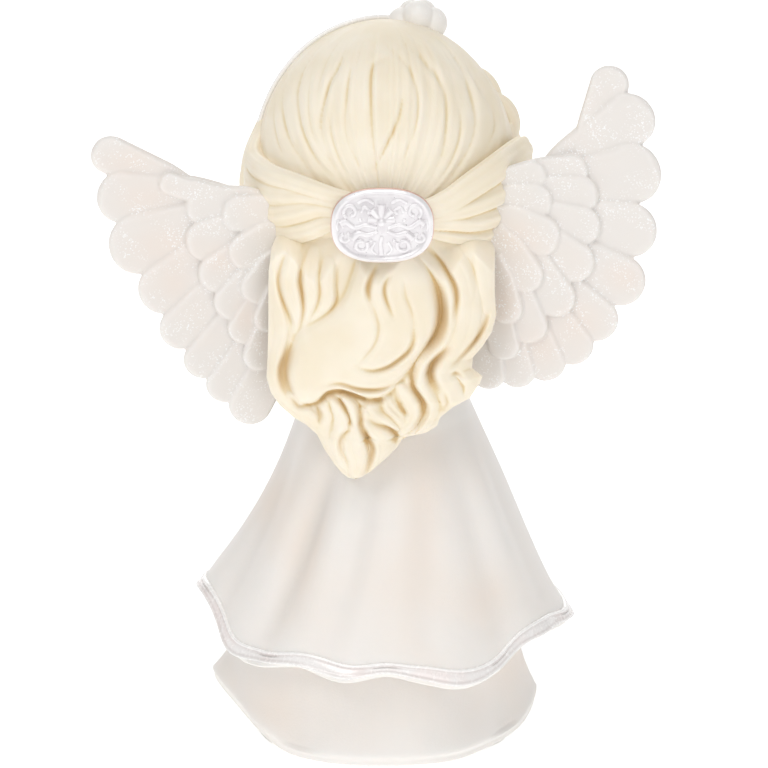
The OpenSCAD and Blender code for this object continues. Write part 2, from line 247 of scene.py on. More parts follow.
def gaussian(angle, at, width):
    return np.exp(-((np.mod(angle - at + 540, 360) - 180) / width) ** 2)


def points_of(piece):
    """A mesh's points, in mm."""
    points = np.empty(len(piece.data.vertices) * 3)
    piece.data.vertices.foreach_get("co", points)
    return points.reshape(-1, 3) / MM


def set_mark(piece, name, values):
    """Stores a value at each of a mesh's points, for its paint to read."""
    layer = piece.data.attributes.new(name, "FLOAT", "POINT")
    layer.data.foreach_set("value", values.astype(np.float32))


def mark_relief(piece, rounds, depth_mm):
    """Stores where a mesh is hollow ("groove") and where it stands out ("crest"), 0 to 1."""
    mesh = piece.data
    points = points_of(piece)
    count = len(points)
    normals = np.empty(count * 3)
    mesh.vertices.foreach_get("normal", normals)
    normals = normals.reshape(-1, 3)
    edges = np.empty(len(mesh.edges) * 2, dtype=int)
    mesh.edges.foreach_get("vertices", edges)
    a, b = edges[0::2], edges[1::2]
    near = np.maximum(np.bincount(a, minlength=count) + np.bincount(b, minlength=count), 1)[:, None]
    smooth = points.copy()
    for _ in range(rounds):
        total = np.stack(
            [
                np.bincount(a, smooth[b, k], minlength=count) + np.bincount(b, smooth[a, k], minlength=count)
                for k in range(3)
            ],
            axis=1,
        )
        smooth = 0.4 * smooth + 0.6 * total / near
    hollow = ((smooth - points) * normals).sum(axis=1) / depth_mm
    for name, values in (("groove", hollow), ("crest", -hollow)):
        set_mark(piece, name, np.clip(values, 0, 1))


def soft_spot(points, x, z, half_x, half_z):
    """1 at (x, z), fading to 0 round it, at points (across, height)."""
    return np.exp(-(((points[:, 0] - x) / half_x) ** 2) - ((points[:, 1] - z) / half_z) ** 2)


def mark_patches(piece, name, patches):
    """Stores a soft-edged airbrushed patch round each (across, height, half width, half height)."""
    spots = points_of(piece)[:, [0, 2]]
    set_mark(piece, name, np.clip(sum(soft_spot(spots, *patch) for patch in patches), 0, 1))


def soften(paint, amount, reach_mm, spread):
    """Lets a little light into a paint, as thin resin does; spread is for red, green, blue."""
    paint.shader.inputs["Subsurface Weight"].default_value = amount
    paint.shader.inputs["Subsurface Radius"].default_value = spread
    paint.shader.inputs["Subsurface Scale"].default_value = reach_mm * MM


gown = Paint("gown_paint", Roughness=0.42, Coat_Weight=0.08, Coat_Roughness=0.35)
soften(gown, 0.06, 1.2, (1.0, 0.7, 0.5))
blush = gown.noise(17, 1).between(0.47, 0.66)
cool = gown.noise(11, 2).between(0.5, 0.72)
gown_colour = gown.mix(cool * 0.45, tint(240, 235, 230), tint(233, 230, 226))
gown_colour = gown.mix(blush * 0.35, gown_colour, tint(240, 231, 222))
gown_colour = gown.mix(gown.mark("peach") * 0.6, gown_colour, tint(238, 225, 213))
# Painted shade: the hollows of the folds are painted grey. Painted highlight: the raised crests are painted
# lighter.
gown_colour = gown.mix(gown.mark("groove") * 0.6, gown_colour, tint(209, 203, 196))
gown_colour = gown.mix(gown.mark("crest") * 0.5, gown_colour, tint(245, 243, 239))
gown.feed(
    Base_Color=gown_colour,
    Roughness=0.36 + 0.14 * gown.noise(3, 3),
    Normal=gown.bump(gown.noise(0.5, 4), 0.035),
)

gown_depth = 0.96
felt_t = 1.0
# The foot's edge round the figure: angle, height, radius
foot_edge = [
    (0, 9.7, 32.8), (21, 6.6, 30.2), (36, 3.4, 29.2), (49, 1.5, 29.3), (66, 1.1, 29.9),
    (90, 1.0, 29.7), (115, 1.0, 29.4), (133, 1.6, 28.2), (155, 3.2, 28.6), (180, 5.8, 28.9),
    (200, 4.2, 28.8), (230, 1.8, 28.6), (262, 1.0, 29.6), (290, 1.1, 28.9), (320, 2.6, 29.2), (342, 7.0, 31.0),
]
foot_turns, foot_heights, foot_radii = zip(*foot_edge)
foot_height = round_curve(foot_turns, foot_heights)
foot_radius = round_curve(foot_turns, foot_radii)
seat_radius = round_curve(range(0, 360, 45), [26.6, 26.6, 26.2, 25.2, 24.4, 25.0, 25.6, 26.0])
seat_height = 26.0


def underskirt_ring(angle, s):
    """s runs from 0 at the hem's ridge to 1 at the seat inside the overskirt."""
    ridge_h = foot_height(angle) + 1.9
    ripple = 0.55 * gaussian(angle, 36, 9) - 0.6 * gaussian(angle, 56, 9) + 0.5 * gaussian(angle, 118, 12)
    front_waves = 0.6 * np.cos(np.radians(7 * (angle - 270))) * (angle > 180)
    ripple = ripple - 0.7 * gaussian(angle, 145, 9) + front_waves
    flare = (1 - s) ** 2.2
    radius = seat_radius(angle) + (foot_radius(angle) - seat_radius(angle)) * flare + ripple * (1 - s) ** 1.2
    return round_points(angle, radius, ridge_h + (seat_height - ridge_h) * s, gown_depth)


around = np.arange(0, 360, 0.75)
hem_floor = np.maximum(foot_height(around), felt_t + 0.05)
underskirt_rings = [round_points(around, felt_half.x - 0.2 + 0 * around, felt_t + 0 * around, gown_depth)]
# The underside, then the edge band, which is slightly hollow under its ridge
for inward, rise in ((3.0, 0.0), (1.3, 0.0), (0.7, 0.15), (0.42, 0.5), (0.5, 0.9), (0.4, 1.35), (0.12, 1.75)):
    underskirt_rings.append(round_points(around, foot_radius(around) - inward, hem_floor + rise, gown_depth))
underskirt_rings += [underskirt_ring(around, s) for s in np.linspace(0.015, 1, 46)]
underskirt_rings.append(round_points(around, 14 + 0 * around, seat_height + 0 * around, gown_depth))


def close_ends(points, rows, columns):
    """Caps over the first and last rings of a closed grid, each round a middle point."""
    first, last = len(points), len(points) + 1
    middles = [points[:columns].mean(axis=0), points[-columns:].mean(axis=0)]
    top = (rows - 1) * columns
    caps = [(first, (c + 1) % columns, c) for c in range(columns)]
    caps += [(last, top + c, top + (c + 1) % columns) for c in range(columns)]
    return np.concatenate([points, middles]), caps


def ring_solid(name, rings):
    """A closed solid skinned over rings of points."""
    columns = len(rings[0])
    points, caps = close_ends(np.concatenate(rings), len(rings), columns)
    return add_mesh(name, points, grid_faces(len(rings), columns) + caps)


underskirt = ring_solid("underskirt_tier", underskirt_rings)
mark_relief(underskirt, 30, 0.35)
mark_patches(underskirt, "peach", [(21, 9, 6, 6), (-24, 15, 6, 5)])
finish_piece(underskirt, ["underskirt"], gown.material)


# Overskirt: a bell-shaped casting over the underskirt's spigot, in the same satin paint.
# Long soft folds run down to a hem that swings out and kicks up at the left.
# The hem round the figure: angle, height, radius
hem_scallops = [
    (0, 28.2, 35.2), (12, 28.0, 34.8), (24, 23.7, 33.8), (34, 20.6, 34.2), (46, 20.3, 34.9),
    (60, 21.1, 33.0), (77, 19.7, 34.6), (91, 20.6, 32.9), (102, 19.2, 33.6), (114, 17.9, 34.8),
    (128, 19.5, 34.2), (140, 22.7, 33.6), (155, 23.6, 34.2), (175, 22.8, 35.1), (195, 22.6, 34.2),
    (222, 20.0, 34.6), (245, 21.4, 33.3), (268, 19.6, 34.5), (290, 21.6, 33.2), (312, 20.2, 34.7),
    (332, 22.8, 33.6), (348, 26.4, 34.6),
]
hem_turns, hem_heights, hem_radii = zip(*hem_scallops)
hem_height = round_curve(hem_turns, hem_heights)
hem_radius = round_curve(hem_turns, hem_radii)
hem_mean_r = 33.4
waist_z, waist_r = 66.0, 15.2
# Folds: angle at the waist, angle at the hem, width in degrees and height in mm
gown_folds = [
    (42, 33, 12, 1.6), (60, 45, 8, -2.3), (76, 59, 10, 1.5), (92, 72, 7, -0.7), (104, 88, 12, 0.7),
    (112, 100, 8, -0.45), (122, 118, 12, 0.7), (132, 134, 8, -0.9), (146, 148, 11, 0.8), (159, 161, 8, -0.8),
    (20, 18, 10, -0.9), (200, 208, 14, 0.9), (230, 246, 10, -1.0), (262, 268, 13, 0.9),
    (300, 290, 10, -1.0), (318, 314, 12, 0.8),
    (342, 336, 10, -0.8),
]


def overskirt_surface(angle, s, lift=0.0):
    """A point of the overskirt's outer face; s runs from 0 at the waist to 1 at the hem."""
    s = np.asarray(s, float)
    height = waist_z + (hem_height(angle) - waist_z) * s
    mean_r = waist_r + (hem_mean_r - waist_r) * s - 0.9 * np.sin(np.pi * s)
    swing = (hem_radius(angle) - hem_mean_r) * s**5
    lean = -0.9 * np.cos(np.radians(angle)) * np.sin(np.pi * np.clip(s * 1.15, 0, 1))
    folds = 0.0
    for top, bottom, width, rise in gown_folds:
        fold = rise * gaussian(angle, top + (bottom - top) * s, width)
        folds = folds + fold * ease(s * 2.2 - 0.15) * (1.1 - 0.5 * s)
    return round_points(angle, mean_r + swing + lean + folds + lift, height, gown_depth)


overskirt_rings = [round_points(around, 12 + 0 * around, waist_z + 0 * around, gown_depth)]
overskirt_rings += [overskirt_surface(around, s) for s in np.linspace(0, 0.988, 96)]
hem_edge = overskirt_surface(around, 1.0)
# The hem is a rounded lip, and the inner face rises behind it to a seat on the underskirt
for inward, rise in ((0.25, -0.5), (0.7, -0.95), (1.3, -1.0), (1.9, -0.6), (2.4, 0.6)):
    lip = round_points(around, hem_radius(around) - inward, hem_edge[:, 2] + rise, gown_depth)
    overskirt_rings.append(lip)
inner_height = 26.3 + np.maximum(hem_edge[:, 2] - 25, 0)
overskirt_rings.append(round_points(around, 28.5 + 0 * around, inner_height, gown_depth))
overskirt_rings.append(round_points(around, 21 + 0 * around, 27.5 + 0 * around, gown_depth))
overskirt = ring_solid("overskirt_tier", overskirt_rings)
mark_relief(overskirt, 60, 0.4)
overskirt_peach = [(-7, 50, 4.5, 12), (-3, 36, 7, 8), (14, 38, 5, 11), (-19, 32, 6, 5), (20, 46, 5, 7)]
mark_patches(overskirt, "peach", overskirt_peach)
finish_piece(overskirt, ["overskirt"], gown.material)


# Hem ribbon: a modelled satin ribbon with two raised edges along the overskirt's hem,
# picked out in silver-white pearl.
def loop_solid(name, rings):
    """A closed hoop skinned over rings of points; the last ring joins the first."""
    rows, columns = len(rings), len(rings[0])
    faces = grid_faces(rows, columns)
    last = (rows - 1) * columns
    faces += [(last + c, last + (c + 1) % columns, (c + 1) % columns, c) for c in range(columns)]
    return add_mesh(name, np.concatenate(rings), faces)


pearl = Paint("pearl_paint", Metallic=0.06, Roughness=0.25, Coat_Weight=0.5, Coat_Roughness=0.12)
swirl = pearl.noise(1.1, 3, (1, 1, 0.6))
sheen = pearl.noise(6, 1).between(0.4, 0.62)
pearl_colour = pearl.mix(sheen, tint(243, 239, 237), tint(244, 234, 231))
pearl_colour = pearl.mix(swirl.between(0.5, 0.75) * 0.6, pearl_colour, tint(255, 253, 252))
# Painted shade: the hollows are painted darker. Painted highlight: the raised edges are painted near white.
pearl_colour = pearl.mix(pearl.mark("groove") * 0.55, pearl_colour, tint(211, 201, 197))
pearl_colour = pearl.mix(pearl.mark("crest") * 0.8, pearl_colour, tint(255, 254, 252))
pearl.feed(
    Base_Color=pearl_colour,
    Roughness=0.16 + 0.2 * pearl.noise(0.8, 3),
    Normal=pearl.bump(pearl.noise(1.5, 2), 0.03),
)

ribbon_w = 2.2
# The ribbon's section: how far across it, and how far it stands off the gown
ribbon_section = [
    (-1.0, -0.3), (-1.02, 0.28), (-0.9, 0.46), (-0.72, 0.42), (-0.58, 0.26), (-0.25, 0.32), (0.0, 0.35),
    (0.25, 0.32), (0.58, 0.26), (0.72, 0.42), (0.9, 0.46), (1.02, 0.28), (1.0, -0.3),
]
ribbon_rings = []
hem_run = 44.0
for across, off in ribbon_section:
    s = 1 - (ribbon_w / 2) * (1.05 - across) / hem_run
    s = s + 0.008 * np.sin(np.radians(9 * around)) * (across < 0)
    curl = 1 + 0.7 * gaussian(around, 172, 9) + 0.5 * gaussian(around, 8, 9)
    ribbon_rings.append(overskirt_surface(around, s, off * curl + 0.05))
hem_ribbon = loop_solid("hem_ribbon_band", ribbon_rings)
mark_relief(hem_ribbon, 4, 0.1)
finish_piece(hem_ribbon, ["hem_ribbon"], pearl.material)


# Bodice: the upper body's casting, gathered softly into the waist, same satin paint. A
# round spigot under it is glued into the overskirt.
bodice_sections = [
    (57, 8, 8), (65.9, 8, 8), (66, 15.4, 14.8), (67.5, 15.5, 14.5), (71, 14.4, 12.4), (77, 13.4, 10.6),
    (81, 11.6, 9.2), (83.5, 9, 7.8), (85, 7, 6.6),
]
section_heights, *section_halves = zip(*bodice_sections)
bodice_rings = []
for height in np.concatenate([[57, 65.9], np.linspace(66, 85, 60)]):
    half_x, half_y = (np.interp(height, section_heights, halves) for halves in section_halves)
    gathers = 0.3 * np.sin(np.radians(19 * around)) + 0.2 * np.sin(np.radians(31 * around + 40))
    gathers = gathers * max(0, 1 - (height - 66) / 7) * (height >= 66)
    a = np.radians(around)
    ring = [(half_x + gathers) * np.cos(a), (half_y + gathers) * np.sin(a), height + 0 * a]
    bodice_rings.append(np.stack(ring, axis=1))
bodice = ring_solid("bodice_casting", bodice_rings)
mark_relief(bodice, 30, 0.4)
finish_piece(bodice, ["bodice"], gown.material)


# Sleeves: two bent castings pegged into the shoulders, loose at the elbow and creased
# across the bend, same satin paint.
def smooth_path(points, steps):
    """A smooth curve of so many steps through points."""
    points = np.asarray(points, float)
    slope = np.gradient(points, axis=0)
    t = np.linspace(0, len(points) - 1, steps + 1)
    i = np.clip(t.astype(int), 0, len(points) - 2)
    f = (t - i)[:, None]
    ends = points[i] * (1 + 2 * f) * (1 - f) ** 2 + points[i + 1] * f * f * (3 - 2 * f)
    return ends + slope[i] * f * (1 - f) ** 2 + slope[i + 1] * f * f * (f - 1)


def bezier(points, steps):
    """The curve that starts and ends at the outer points and is drawn towards the others."""
    points = np.asarray(points, float)
    t = np.linspace(0, 1, steps + 1)[:, None]
    order = len(points) - 1
    return sum(math.comb(order, k) * (1 - t) ** (order - k) * t**k * p for k, p in enumerate(points))


def sweep_rings(path, outward, across, off):
    """Rings along a path: sections in mm across it and off it towards outward, one row each."""
    tangent = np.gradient(path, axis=0)
    outward = [outward(p) for p in path] if callable(outward) else np.tile(outward, (len(path), 1))
    sideways = np.cross(tangent, np.asarray(outward, float))
    sideways = sideways / np.linalg.norm(sideways, axis=1)[:, None]
    outward = np.cross(sideways, tangent)
    outward = outward / np.linalg.norm(outward, axis=1)[:, None]
    across, off = np.broadcast_arrays(across, off)
    sections = across[..., None] * sideways[:, None, :]
    return list(path[:, None, :] + sections + off[..., None] * outward[:, None, :])


round_turn = np.linspace(0, 2 * np.pi, 120, endpoint=False)
cuff_radius = 4.6
for side, label in ((1, "left"), (-1, "right")):
    sleeve_line = [(10.5, 0, 79), (19, -3, 72), (15, -15, 63), (5, -19.5, 71.5)]
    sleeve_path = bezier([(side * x, y, z) for x, y, z in sleeve_line], 110)
    t = np.linspace(0, 1, 111)[:, None]
    loose = 0.86 + 0.18 * ease(t * 1.6) + 0.1 * t
    creases = 0.45 * np.sin(t * 34 + 1.6 * np.cos(round_turn)) * np.exp(-(((t - 0.5) / 0.28) ** 2))
    inner_bend = np.cos(round_turn - side * 0.6)
    creases = creases * (0.35 + 0.65 * (inner_bend > 0) * inner_bend)
    flutes = 0.22 * np.cos(7 * round_turn + 1.0) * ease((t - 0.55) * 2.2)
    across, off = (half * loose + creases + flutes for half in (5.0, 4.7))
    rings = sweep_rings(sleeve_path, (0, 0, 1), across * np.cos(round_turn), off * np.sin(round_turn))
    sleeve = ring_solid("sleeve_" + label + "_casting", rings)
    mark_relief(sleeve, 24, 0.35)
    finish_piece(sleeve, ["sleeve_" + label], gown.material)

    # Cuff: a twisted cord round the sleeve's end, modelled in resin and painted pearl, and
    # glued in its groove.
    wrist, wrist_way = sleeve_path[-1], sleeve_path[-1] - sleeve_path[-2]
    wrist_way = wrist_way / np.linalg.norm(wrist_way)
    wrist_up = np.cross(wrist_way, (1, 0, 0))
    wrist_up = wrist_up / np.linalg.norm(wrist_up)
    wrist_side = np.cross(wrist_up, wrist_way)
    hoop = np.linspace(0, 2 * np.pi, 220, endpoint=False)
    cord_turn = np.linspace(0, 2 * np.pi, 24, endpoint=False)
    rings = []
    for a in hoop:
        away = math.cos(a) * wrist_side + math.sin(a) * wrist_up
        thick = 0.62 + 0.16 * np.abs(np.sin(cord_turn * 1.5 + a * 16))
        ring = wrist + cuff_radius * away + (thick * np.cos(cord_turn))[:, None] * away
        rings.append(ring + (thick * np.sin(cord_turn))[:, None] * wrist_way)
    cuff = loop_solid("cuff_" + label + "_cord", rings)
    mark_relief(cuff, 4, 0.1)
    finish_piece(cuff, ["cuff_" + label], pearl.material)


# Neckline trim: a string of small pearls round the neck of the bodice, modelled in resin
# and painted pearl.
def ball(middle, radius, stretch=(1, 1, 1)):
    """Rings of a round solid in mm."""
    rings = []
    a = np.linspace(0, 2 * np.pi, 22, endpoint=False)
    for reach in np.linspace(0.06, np.pi - 0.06, 14):
        unit = np.stack([np.sin(reach) * np.cos(a), np.sin(reach) * np.sin(a), np.cos(reach) + 0 * a], axis=1)
        rings.append(np.asarray(middle) + radius * unit * np.asarray(stretch))
    return rings


class Clay:
    """Rough solids gathered in mm, either kept apart or fused into one smooth skin."""

    def __init__(self):
        self.points, self.faces, self.count = [], [], 0

    def add(self, rings):
        points, caps = close_ends(np.concatenate(rings), len(rings), len(rings[0]))
        faces = grid_faces(len(rings), len(rings[0])) + caps
        self.faces += [tuple(k + self.count for k in face) for face in faces]
        self.points.append(points)
        self.count += len(points)

    def solid(self, name):
        return add_mesh(name, np.concatenate(self.points), self.faces)

    def fuse(self, name, voxel, smoothing):
        mesh = bpy.data.meshes.new(name + "_rough")
        mesh.from_pydata(np.concatenate(self.points).tolist(), [], self.faces)
        rough = bpy.data.objects.new(name + "_rough", mesh)
        bpy.context.scene.collection.objects.link(rough)
        skin = rough.modifiers.new("fuse", "REMESH")
        skin.mode, skin.voxel_size, skin.use_smooth_shade = "VOXEL", voxel, True
        relax = rough.modifiers.new("relax", "SMOOTH")
        relax.factor, relax.iterations = 0.5, smoothing
        cast = bpy.data.meshes.new_from_object(rough.evaluated_get(bpy.context.evaluated_depsgraph_get()))
        bpy.data.objects.remove(rough)
        cast.transform(Matrix.Scale(MM, 4))
        cast.name = name
        piece = bpy.data.objects.new(name, cast)
        bpy.context.scene.collection.objects.link(piece)
        return piece


neck_pearls = Clay()
for a in np.radians(np.arange(0, 360, 13.85)):
    neck_pearls.add(ball((6.2 * math.cos(a), 6.2 * math.sin(a), 85.75), 0.74))
neck_trim = neck_pearls.solid("neck_trim_pearls")
mark_relief(neck_trim, 2, 0.1)
finish_piece(neck_trim, ["neck_trim"], pearl.material)


# Hands: two small castings pressed palm to palm, pegged into the sleeves. Warm skin paint,
# satin, with darker, pinker painted shade between the fingers.
def skin_paint(name):
    """A skin paint with its finish, and its plain colour for more to be laid over."""
    paint = Paint(name, Roughness=0.45, Coat_Weight=0.05, Coat_Roughness=0.3)
    soften(paint, 0.15, 1.5, (1.0, 0.55, 0.35))
    paint.feed(Roughness=0.42 + 0.1 * paint.noise(1.5, 3), Normal=paint.bump(paint.noise(0.35, 4), 0.02))
    return paint, paint.mix(paint.noise(8, 2).between(0.4, 0.7), tint(250, 224, 205), tint(252, 230, 214))


skin, skin_colour = skin_paint("skin_paint")
# Painted shade: the creases between the fingers are painted darker and pinker.
skin.feed(Base_Color=skin.mix(skin.mark("groove") * 0.45, skin_colour, tint(226, 170, 146)))


def swell_along(t, start, end):
    """A strand's thickness along it: start and end shares, 1 in the middle."""
    return start * (1 - t) + end * t + (1 - (start + end) / 2) * np.sin(np.pi * t) ** 0.8


def strand(path, half_w, half_d, outward, ends=(0.5, 0.4), ridges=0, ridge=0.1, steps=60):
    """Rings of a tapered strand through path, half_d towards outward and half_w across it."""
    path = smooth_path(path, steps)
    swell = swell_along(np.linspace(0, 1, steps + 1), *ends)[:, None]
    turn = np.linspace(0, 2 * np.pi, 48, endpoint=False)
    lobes = 1 - ridge + ridge * np.abs(np.sin(turn * ridges / 2)) if ridges else 1.0
    across = half_w * swell * lobes * np.cos(turn)
    return sweep_rings(path, outward, across, half_d * swell * lobes * np.sin(turn))


for side, label in ((1, "left"), (-1, "right")):
    hand = Clay()
    palm = [(side * 5, -19.5, 71.5), (side * 3.4, -20.8, 73), (side * 1.9, -21.5, 75)]
    hand.add(strand(palm, 2.3, 2.0, (0, 1, 0), ends=(0.9, 0.9)))
    hand.add(ball((side * 1.45, -22.2, 76.6), 1, (1.35, 2.9, 3.0)))
    for offset, top in ((-2.0, 82.0), (-0.68, 82.9), (0.66, 82.6), (1.9, 81.4)):
        finger = [
            (side * 1.3, -22.4 - offset * 0.9, 77), (side * 1.0, -22.6 - offset, 79.6),
            (side * 0.82, -22.5 - offset, top),
        ]
        hand.add(strand(finger, 0.74, 0.72, (1, 0, 0), ends=(0.95, 0.72), steps=30))
    thumb = [(side * 1.9, -20.4, 75.8), (side * 1.7, -19.4, 77.6), (side * 0.9, -19.2, 79.4)]
    hand.add(strand(thumb, 0.78, 0.78, (1, 0, 0), ends=(0.95, 0.75), steps=30))
    piece = hand.fuse("hand_" + label + "_casting", voxel=0.14, smoothing=3)
    mark_relief(piece, 14, 0.2)
    finish_piece(piece, ["hand_" + label], skin.material)


# Neck: a short cast plug that flares into the shoulders, in the hands' skin paint. The
# steel dowel runs through it from the bodice into the head.
neck_rings = []
for height in np.linspace(81, 90, 24):
    flare = 4.95 + 0.35 * ((height - 86.5) / 4.5) ** 2
    neck_rings.append(round_points(around[::4], flare + 0 * around[::4], height, 1.0))
neck = ring_solid("neck_column", neck_rings)
mark_relief(neck, 2, 1.0)
finish_piece(neck, ["neck"], skin.material)


# Head: one casting with a small nose, closed eyes and a calm mouth; lashes, brows, lips
# and cheeks are brushed on over the skin paint.
head_mid = np.array([0.0, -2.5, 107.0])
head_half = np.array([20.2, 20.2, 21.4])
# Swellings of the face: middle (across, height), half sizes, rise
face_forms = [
    (8.2, 97.4, 5.2, 4.6, 0.75), (-8.2, 97.4, 5.2, 4.6, 0.75), (0, 90.6, 3.4, 2.6, 0.9),
    (0, 99.2, 1.25, 1.1, 1.25), (0, 101.6, 1.1, 2.6, 0.5), (1.1, 98.7, 0.75, 0.7, 0.35),
    (-1.1, 98.7, 0.75, 0.7, 0.35), (0, 95.7, 1.9, 0.55, 0.42), (0, 94.5, 1.5, 0.6, 0.5),
    (0, 95.1, 2.3, 0.22, -0.3), (7.0, 102.2, 3.9, 2.5, -0.75), (-7.0, 102.2, 3.9, 2.5, -0.75),
    (7.0, 102.3, 2.9, 1.8, 0.85), (-7.0, 102.3, 2.9, 1.8, 0.85), (0, 97.3, 0.5, 0.9, -0.15),
]


def distance_to(points, path):
    """Distance in mm from points (across, height) to a drawn line."""
    best = np.full(len(points), 1e9)
    for start, stop in zip(path[:-1], path[1:]):
        way = stop - start
        t = np.clip(((points - start) @ way) / (way @ way), 0, 1)
        best = np.minimum(best, np.linalg.norm(points - start - t[:, None] * way, axis=1))
    return best


def stroke(points, path, half_w):
    """1 on a brushed line, fading over its edge."""
    return ease((half_w - distance_to(points, smooth_path(path, 24))) / 0.12 + 0.5)


face_turn = np.linspace(0, 2 * np.pi, 640, endpoint=False)
face_reach = np.concatenate([np.linspace(0.004, 0.86, 116), np.linspace(0.88, np.pi - 0.01, 50)])
head_rings = []
for reach in face_reach:
    out, ahead = np.sin(reach), -np.cos(reach) + 0 * face_turn
    unit = np.stack([out * np.cos(face_turn), ahead, out * np.sin(face_turn)], axis=1)
    ring = head_mid + head_half * unit
    if reach < 1.3:
        rise = sum(lift * soft_spot(ring[:, [0, 2]], *form) for *form, lift in face_forms)
        ring = ring + rise[:, None] * unit
    head_rings.append(ring)
head = ring_solid("head_casting", head_rings)
face_points = points_of(head)
forward = face_points[:, 1] < -9
flat = face_points[:, [0, 2]]
lashes, brows, cheeks = (np.zeros(len(flat)) for _ in range(3))
for side in (1, -1):
    lid = [(3.9, 101.7), (5.4, 100.75), (7.1, 100.5), (8.8, 100.9), (10.3, 102.0)]
    lashes = np.maximum(lashes, stroke(flat, [(side * x, z) for x, z in lid], 0.2))
    for x1, z1, x2, z2 in ((10.1, 101.9, 11.4, 101.7), (9.3, 101.2, 10.5, 100.6), (8.2, 100.7, 9.0, 99.8)):
        lash = [(side * x1, z1), (side * (x1 + x2) / 2, (z1 + z2) / 2 - 0.1), (side * x2, z2)]
        lashes = np.maximum(lashes, stroke(flat, lash, 0.12))
    brow = [(side * 3.9, 106.3), (side * 6.6, 107.3), (side * 9.6, 107.0), (side * 11.3, 106.0)]
    brows = np.maximum(brows, stroke(flat, brow, 0.26) * 0.8)
    cheeks = np.maximum(cheeks, soft_spot(flat, side * 9.2, 97.2, 3.8, 3.2))
upper_lip = stroke(flat, [(-1.9, 95.3), (-0.7, 95.75), (0, 95.6), (0.7, 95.75), (1.9, 95.3)], 0.34)
lips = np.maximum(upper_lip, stroke(flat, [(-1.3, 94.8), (0, 94.45), (1.3, 94.8)], 0.42))
for name, values in (("lashes", lashes), ("brows", brows), ("lips", lips), ("cheeks", cheeks)):
    set_mark(head, name, values * forward)
mark_relief(head, 20, 0.5)
face, face_colour = skin_paint("face_paint")
# Painted shade: the face's hollows are painted a little darker.
face_colour = face.mix(face.mark("groove") * 0.25, face_colour, tint(232, 186, 164))
face_colour = face.mix(face.mark("cheeks") * 0.55, face_colour, tint(240, 164, 150))
face_colour = face.mix(face.mark("lips") * 0.85, face_colour, tint(205, 110, 108))
face_colour = face.mix(face.mark("brows") * 0.75, face_colour, tint(176, 134, 88))
face.feed(Base_Color=face.mix(face.mark("lashes") * 0.95, face_colour, tint(84, 56, 40)))
finish_piece(head, ["head"], face.material)


# Hair over the head: one casting that cups the back of the head and is open at the face,
# combed in broad strands from the top down to the barrette. Matt cream paint, with a
# golden wash wiped into the grooves.
hair = Paint("hair_paint", Roughness=0.5)
soften(hair, 0.1, 1.0, (1.0, 0.7, 0.4))
cream = hair.mix(hair.noise(9, 2).between(0.35, 0.7), tint(242, 230, 206), tint(247, 237, 218))
# Painted highlight: the raised crests of the strands are painted lighter.
cream = hair.mix(hair.mark("crest") * 0.6, cream, tint(250, 241, 224))
wash = hair.mark("groove")
cream = hair.mix(wash.between(0.05, 0.6) * 0.75, cream, tint(229, 210, 168))
cream = hair.mix(wash.between(0.45, 1.0) * 0.8, cream, tint(214, 181, 128))
cream = hair.mix(hair.mark("wash").between(0.1, 1.0) * 0.66, cream, tint(208, 175, 122))
hair.feed(
    Base_Color=cream,
    Roughness=0.44 + 0.16 * hair.noise(2.5, 3),
    Normal=hair.bump(hair.noise(0.4, 4), 0.03),
)

crown_mid = np.array([0.0, 0.0, 110.0])
crown_half = np.array([24.0, 25.0, 27.0])
# The strands run between these two points of the unit head
crown_top = np.array([0.0, -0.1, 1.0]) / np.linalg.norm([0.0, -0.1, 1.0])
crown_gather = np.array([0.02, 1.0, -0.2]) / np.linalg.norm([0.02, 1.0, -0.2])
# Grooves combed into the back of the head: depth, width, stops (across, height), all in mm
comb_grooves = [
    (0.26, 0.55, [(-1.3, 133.6), (2.3, 131.9), (2.7, 125.8), (2.3, 115.6)]),
    (0.4, 0.5, [(-3.4, 127.5), (-2.3, 123.5), (-0.3, 119.4), (2.3, 114.3)]),
    (0.4, 0.55, [(6.8, 134.0), (9.7, 130.0), (11.3, 126.1), (12.1, 120.8)]),
    (0.3, 0.6, [(12.9, 132.2), (15.2, 129.5), (16.2, 125.4), (15.2, 120.2), (11.6, 114.8), (7.4, 111.7)]),
    (0.28, 0.6, [(16.8, 129.5), (18.7, 126.1), (19.1, 122.3), (17.4, 117.8), (13.9, 113.4)]),
    (0.35, 0.6, [(-3.2, 135.6), (-7.1, 132.7), (-10.3, 128.9), (-11.3, 124.4), (-10.7, 118.0),
      (-8.1, 112.6)]),
    (0.3, 0.6, [(-7.1, 135.4), (-12.3, 131.7), (-15.5, 127.1), (-16.8, 122.0), (-15.5, 117.1),
      (-11.6, 112.2)]),
    (0.35, 0.6, [(-12.3, 132.7), (-18.4, 125.5), (-20.4, 120.1), (-18.7, 116.2)]),
    (0.22, 0.5, [(4.5, 134.7), (6.8, 129.3), (7.4, 122.6), (5.8, 117.3), (2.3, 113.0)]),
    (0.22, 0.5, [(1.3, 136.0), (-4.5, 131.6), (-6.1, 125.6), (-4.5, 119.3), (-1.3, 113.7)]),
    (0.2, 0.5, [(9.7, 134.4), (13.2, 130.1), (14.1, 125.0), (12.9, 119.5), (8.4, 113.9)]),
    (0.2, 0.5, [(-9.7, 134.4), (-16.2, 128.7), (-18.7, 122.9)]),
    (0.2, 0.45, [(19.4, 125.8), (20.7, 121.4), (20.0, 117.4), (18.1, 114.5)]),
    (0.25, 0.5, [(-13.6, 126.1), (-13.9, 120.5), (-12.3, 115.9), (-9.1, 111.2)]),
    (0.18, 0.45, [(9.7, 126.9), (10.0, 121.2), (7.8, 115.3), (5.2, 112.2)]),
]
comb_dice = np.random.default_rng(7)
# Waves of the combed strands round the head: how many, where they start, how far they bend
comb_waves = [
    (n, comb_dice.uniform(0, 2 * np.pi), comb_dice.uniform(-0.5, 0.5)) for n in (11, 17, 23, 31, 43, 59)
]


